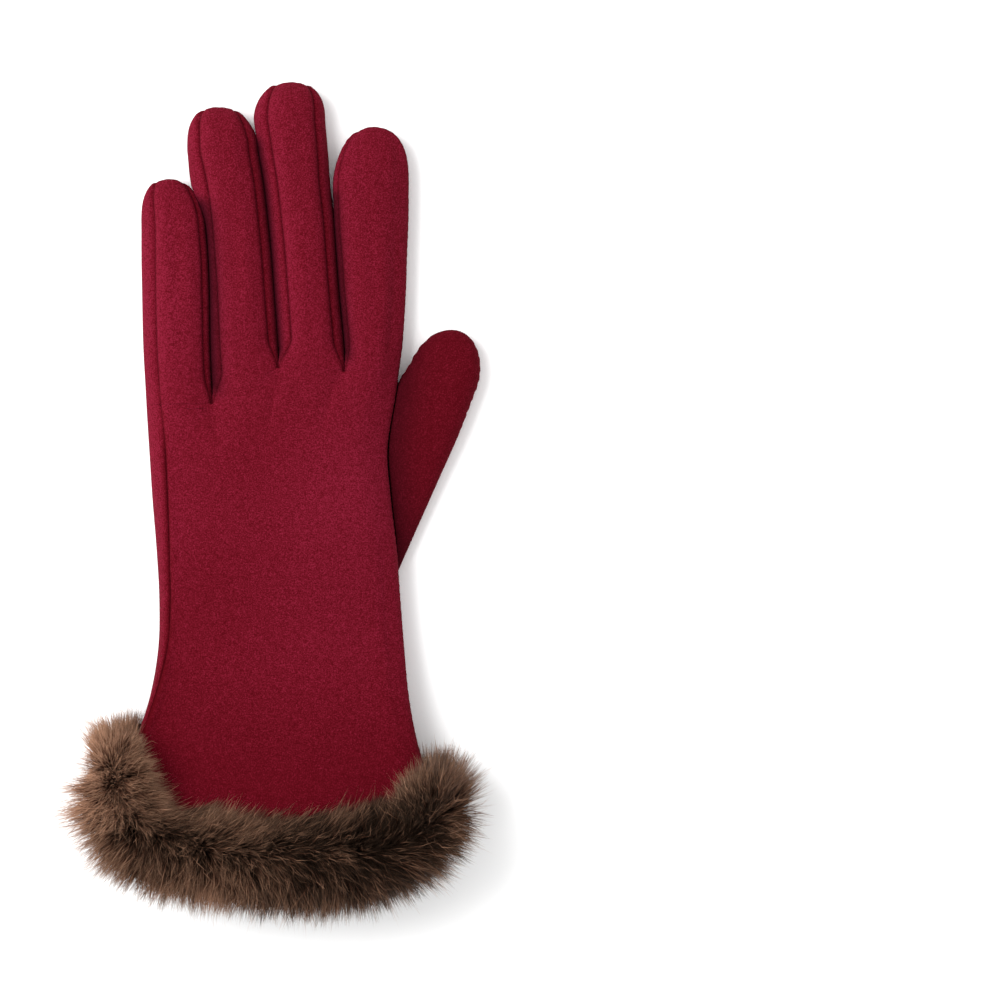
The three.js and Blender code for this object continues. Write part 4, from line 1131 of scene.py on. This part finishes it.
def strandBends(tree, given, stored, place):  # tufts draw together, tips curl and hang a little
    along = stored["along"]
    late = addNode(tree, "ShaderNodeMath", {0: along, 1: strandShape["curlPower"]}, operation="POWER")
    bend = addNode(tree, "ShaderNodeMath", {0: late, 1: stored["strandLength"]}, operation="MULTIPLY")
    clump = addNode(tree, "ShaderNodeMath", {0: along, 1: strandShape["clumpPower"]}, operation="POWER")
    clump = addNode(tree, "ShaderNodeMath", {0: clump, 1: given["Clump"]}, operation="MULTIPLY")
    gather = addNode(tree, "ShaderNodeVectorMath", {
        "Vector": stored["toTuft"], "Scale": clump,
    }, operation="SCALE")
    noise = addNode(tree, "ShaderNodeTexNoise", {
        "Vector": place, "Scale": 1 / (strandShape["curlSize"] * mm), "Detail": 0.0,
    })
    curl = addNode(tree, "ShaderNodeVectorMath", {
        0: noise.outputs["Color"], 1: noiseMiddle,
    }, operation="SUBTRACT")
    much = addNode(tree, "ShaderNodeMath", {0: bend, 1: given["Curl"]}, operation="MULTIPLY")
    much = addNode(tree, "ShaderNodeMath", {0: much, 1: noiseReach}, operation="MULTIPLY")
    curl = addNode(tree, "ShaderNodeVectorMath", {"Vector": curl, "Scale": much}, operation="SCALE")
    hang = addNode(tree, "ShaderNodeMath", {0: bend, 1: given["Droop"]}, operation="MULTIPLY")
    hang = addNode(tree, "ShaderNodeMath", {0: hang, 1: -1.0}, operation="MULTIPLY")
    hang = addNode(tree, "ShaderNodeCombineXYZ", {"Z": hang})
    offset = addNode(tree, "ShaderNodeVectorMath", {0: gather, 1: curl}, operation="ADD")
    return addNode(tree, "ShaderNodeVectorMath", {0: offset, 1: hang}, operation="ADD")


def pileTree():
    tree = bpy.data.node_groups.new("faux fur pile", "GeometryNodeTree")
    tree.is_modifier = True
    inputs = {
        "NodeSocketGeometry": ("Backing",),
        "NodeSocketFloat": (
            "Strands per square metre", "Radius", "Length", "Frizz", "Curl", "Droop", "Clump",
        ),
        "NodeSocketInt": ("Joints", "Seed"),
        "NodeSocketMaterial": ("Material",),
    }
    for kind, names in inputs.items():
        for name in names:
            tree.interface.new_socket(name, in_out="INPUT", socket_type=kind)
    tree.interface.new_socket("Pile", in_out="OUTPUT", socket_type="NodeSocketGeometry")
    given = addNode(tree, "NodeGroupInput").outputs
    place = addNode(tree, "GeometryNodeInputPosition")
    stored = {}
    for kind, names in {
        "FLOAT": ("pileDensity", "pileLength", "strandLength", "along"),
        "FLOAT_VECTOR": ("pileWay", "strandWay", "toTuft"),
    }.items():
        for name in names:
            stored[name] = addNode(tree, "GeometryNodeInputNamedAttribute", {"Name": name}, data_type=kind)

    turn = addNode(tree, "FunctionNodeAlignRotationToVector", {"Vector": stored["strandWay"]}, axis="Z")
    size = addNode(tree, "ShaderNodeCombineXYZ", {
        "X": given["Radius"], "Y": given["Radius"], "Z": stored["strandLength"],
    })
    points = strandPoints(tree, given, stored, place)
    strand = oneStrand(tree, given["Joints"], place)
    pileMesh = addNode(tree, "GeometryNodeInstanceOnPoints", {
        "Points": points, "Instance": strand, "Rotation": turn, "Scale": size,
    })
    pileMesh = addNode(tree, "GeometryNodeRealizeInstances", {"Geometry": pileMesh})
    pileMesh = addNode(tree, "GeometryNodeSetPosition", {
        "Geometry": pileMesh, "Offset": strandBends(tree, given, stored, place),
    })

    # nothing goes through the table
    parts = addNode(tree, "ShaderNodeSeparateXYZ", {"Vector": place}).outputs
    aboveTable = addNode(tree, "ShaderNodeMath", {
        0: parts["Z"], 1: strandShape["tableClear"] * mm,
    }, operation="MAXIMUM")
    lifted = addNode(tree, "ShaderNodeCombineXYZ", {"X": parts["X"], "Y": parts["Y"], "Z": aboveTable})
    pileMesh = addNode(tree, "GeometryNodeSetPosition", {"Geometry": pileMesh, "Position": lifted})
    pileMesh = addNode(tree, "GeometryNodeSetShadeSmooth", {"Geometry": pileMesh})
    pileMesh = addNode(tree, "GeometryNodeSetMaterial", {
        "Geometry": pileMesh, "Material": given["Material"],
    })
    addNode(tree, "NodeGroupOutput", {"Pile": pileMesh})
    return tree


# The pile's pieces: each of its layers in each sector of the roll

layers = [  # a dense short underfur, guard hairs that lie over it, and a few stray ones painted lighter, partly as painted glints of fibres that catch the light
    {
        "name": "underfur", "dim": -0.7,
        "inputs": {
            "Strands per square metre": 13e6, "Joints": 1, "Radius": 0.12 * mm, "Length": 0.62,
            "Frizz": 0.24, "Curl": 0.0, "Droop": 0.0, "Clump": 0.16,
        },
    },
    {
        "name": "hair", "dim": 0.0,
        "inputs": {
            "Strands per square metre": 10e6, "Joints": 2, "Radius": 0.085 * mm, "Length": 1.0,
            "Frizz": 0.15, "Curl": 0.14, "Droop": 0.16, "Clump": 0.26,
        },
    },
    {
        "name": "stray", "dim": 0.85,
        "inputs": {
            "Strands per square metre": 1.6e6, "Joints": 3, "Radius": 0.07 * mm, "Length": 1.12,
            "Frizz": 0.32, "Curl": 0.16, "Droop": 0.10, "Clump": 0.0,
        },
    },
]
growing = pileTree()
socketIds = {item.name: item.identifier for item in growing.interface.items_tree if item.in_out == "INPUT"}


def pilePiece(number, sector):
    layer = layers[number]
    first, last = (k * cuff["rings"] // cuff["sectors"] for k in (sector, sector + 1))
    rings = np.arange(first, last + 1) % cuff["rings"]
    ids = np.arange(len(rings) * face.shape[1]).reshape(len(rings), -1)
    mesh = meshOf(f"fur_{layer['name']}_{sector + 1}", face[rings].reshape(-1, 3), gridQuads(ids).tolist())
    for name, values in pileGrowth.items():
        addAttribute(mesh, name, values[rings], "FLOAT" if values.ndim == 2 else "FLOAT_VECTOR")
    # painted light and shade, and each layer's own lift
    addAttribute(mesh, "pileLightAndTone", pilePaintedShading[rings] + layer["dim"])
    grown = addObject(mesh, pileStrand)
    modifier = grown.modifiers.new("pile", "NODES")
    modifier.node_group = growing
    seed = 100 + 10 * number + sector  # another one for each piece
    for name, value in {**layer["inputs"], "Seed": seed, "Material": pileStrand}.items():
        modifier[socketIds[name]] = value
    mesh = evaluatedMesh(grown)
    for name in (*pileGrowth, "toTuft", "strandWay", "strandLength"):  # only needed to grow it
        if name in mesh.attributes:
            mesh.attributes.remove(mesh.attributes[name])
    mesh.materials.clear()
    piece = addObject(mesh, pileStrand)
    dress(piece, "fur_cuff")
    triangles = sum(len(polygon.vertices) - 2 for polygon in mesh.polygons)
    print(f"{piece.name}: {triangles} triangles")
    return piece


pilePieces = [
    pilePiece(number, sector) for sector in range(cuff["sectors"]) for number in range(len(layers))
]
for cutter in (filled, thumbHollow):
    bpy.data.objects.remove(cutter)


# Floor, light and camera

studio = {
    "floorReach": 3, "sky": 1.05,
    "key": 11.0, "keySize": 0.7, "keyPlace": (-0.60, 0.24, 0.80),  # a large soft box up and to the left
    "lens": 150, "sensor": 36,
    "pixel": 0.3, "pixels": 1000,  # mm of glove for each pixel of the picture, and pixels across it
    "aim": (0.0678, -0.0003), "aimHeight": 0.010,  # the height at which that scale holds
}
paper = {  # uncoated white card: bright, with hardly any gloss
    "surface": {"Base Color": "#ffffff", "Roughness": 0.9, "Specular IOR Level": 0.1},
}
reach = studio["floorReach"]
floorMesh = bpy.data.meshes.new("paper")
floorMesh.from_pydata(
    [(-reach, -reach, 0), (reach, -reach, 0), (reach, reach, 0), (-reach, reach, 0)], [], [(0, 1, 2, 3)],
)
floor = addObject(floorMesh, newMaterial("white backdrop paper", paper))

world = bpy.data.worlds.new("studio")
world.use_nodes = True
background = world.node_tree.nodes["Background"]
background.inputs["Color"].default_value = (1, 1, 1, 1)
background.inputs["Strength"].default_value = studio["sky"]
bpy.context.scene.world = world
keyLight = bpy.data.lights.new("soft box", "AREA")
keyLight.energy, keyLight.size = studio["key"], studio["keySize"]
softBox = bpy.data.objects.new("soft box", keyLight)
softBox.location = studio["keyPlace"]
softBox.rotation_euler = (Vector((0, 0, 0)) - softBox.location).to_track_quat("-Z", "Y").to_euler()
bpy.context.scene.collection.objects.link(softBox)

cameraData = bpy.data.cameras.new("camera")
cameraData.lens, cameraData.sensor_width = studio["lens"], studio["sensor"]
camera = bpy.data.objects.new("camera", cameraData)
cameraHeight = studio["pixel"] * mm * studio["pixels"] * studio["lens"] / studio["sensor"]
camera.location = (*studio["aim"], studio["aimHeight"] + cameraHeight)
bpy.context.scene.collection.objects.link(camera)
bpy.context.scene.camera = camera
bpy.context.scene.view_settings.view_transform = "Standard"
print("studio set")
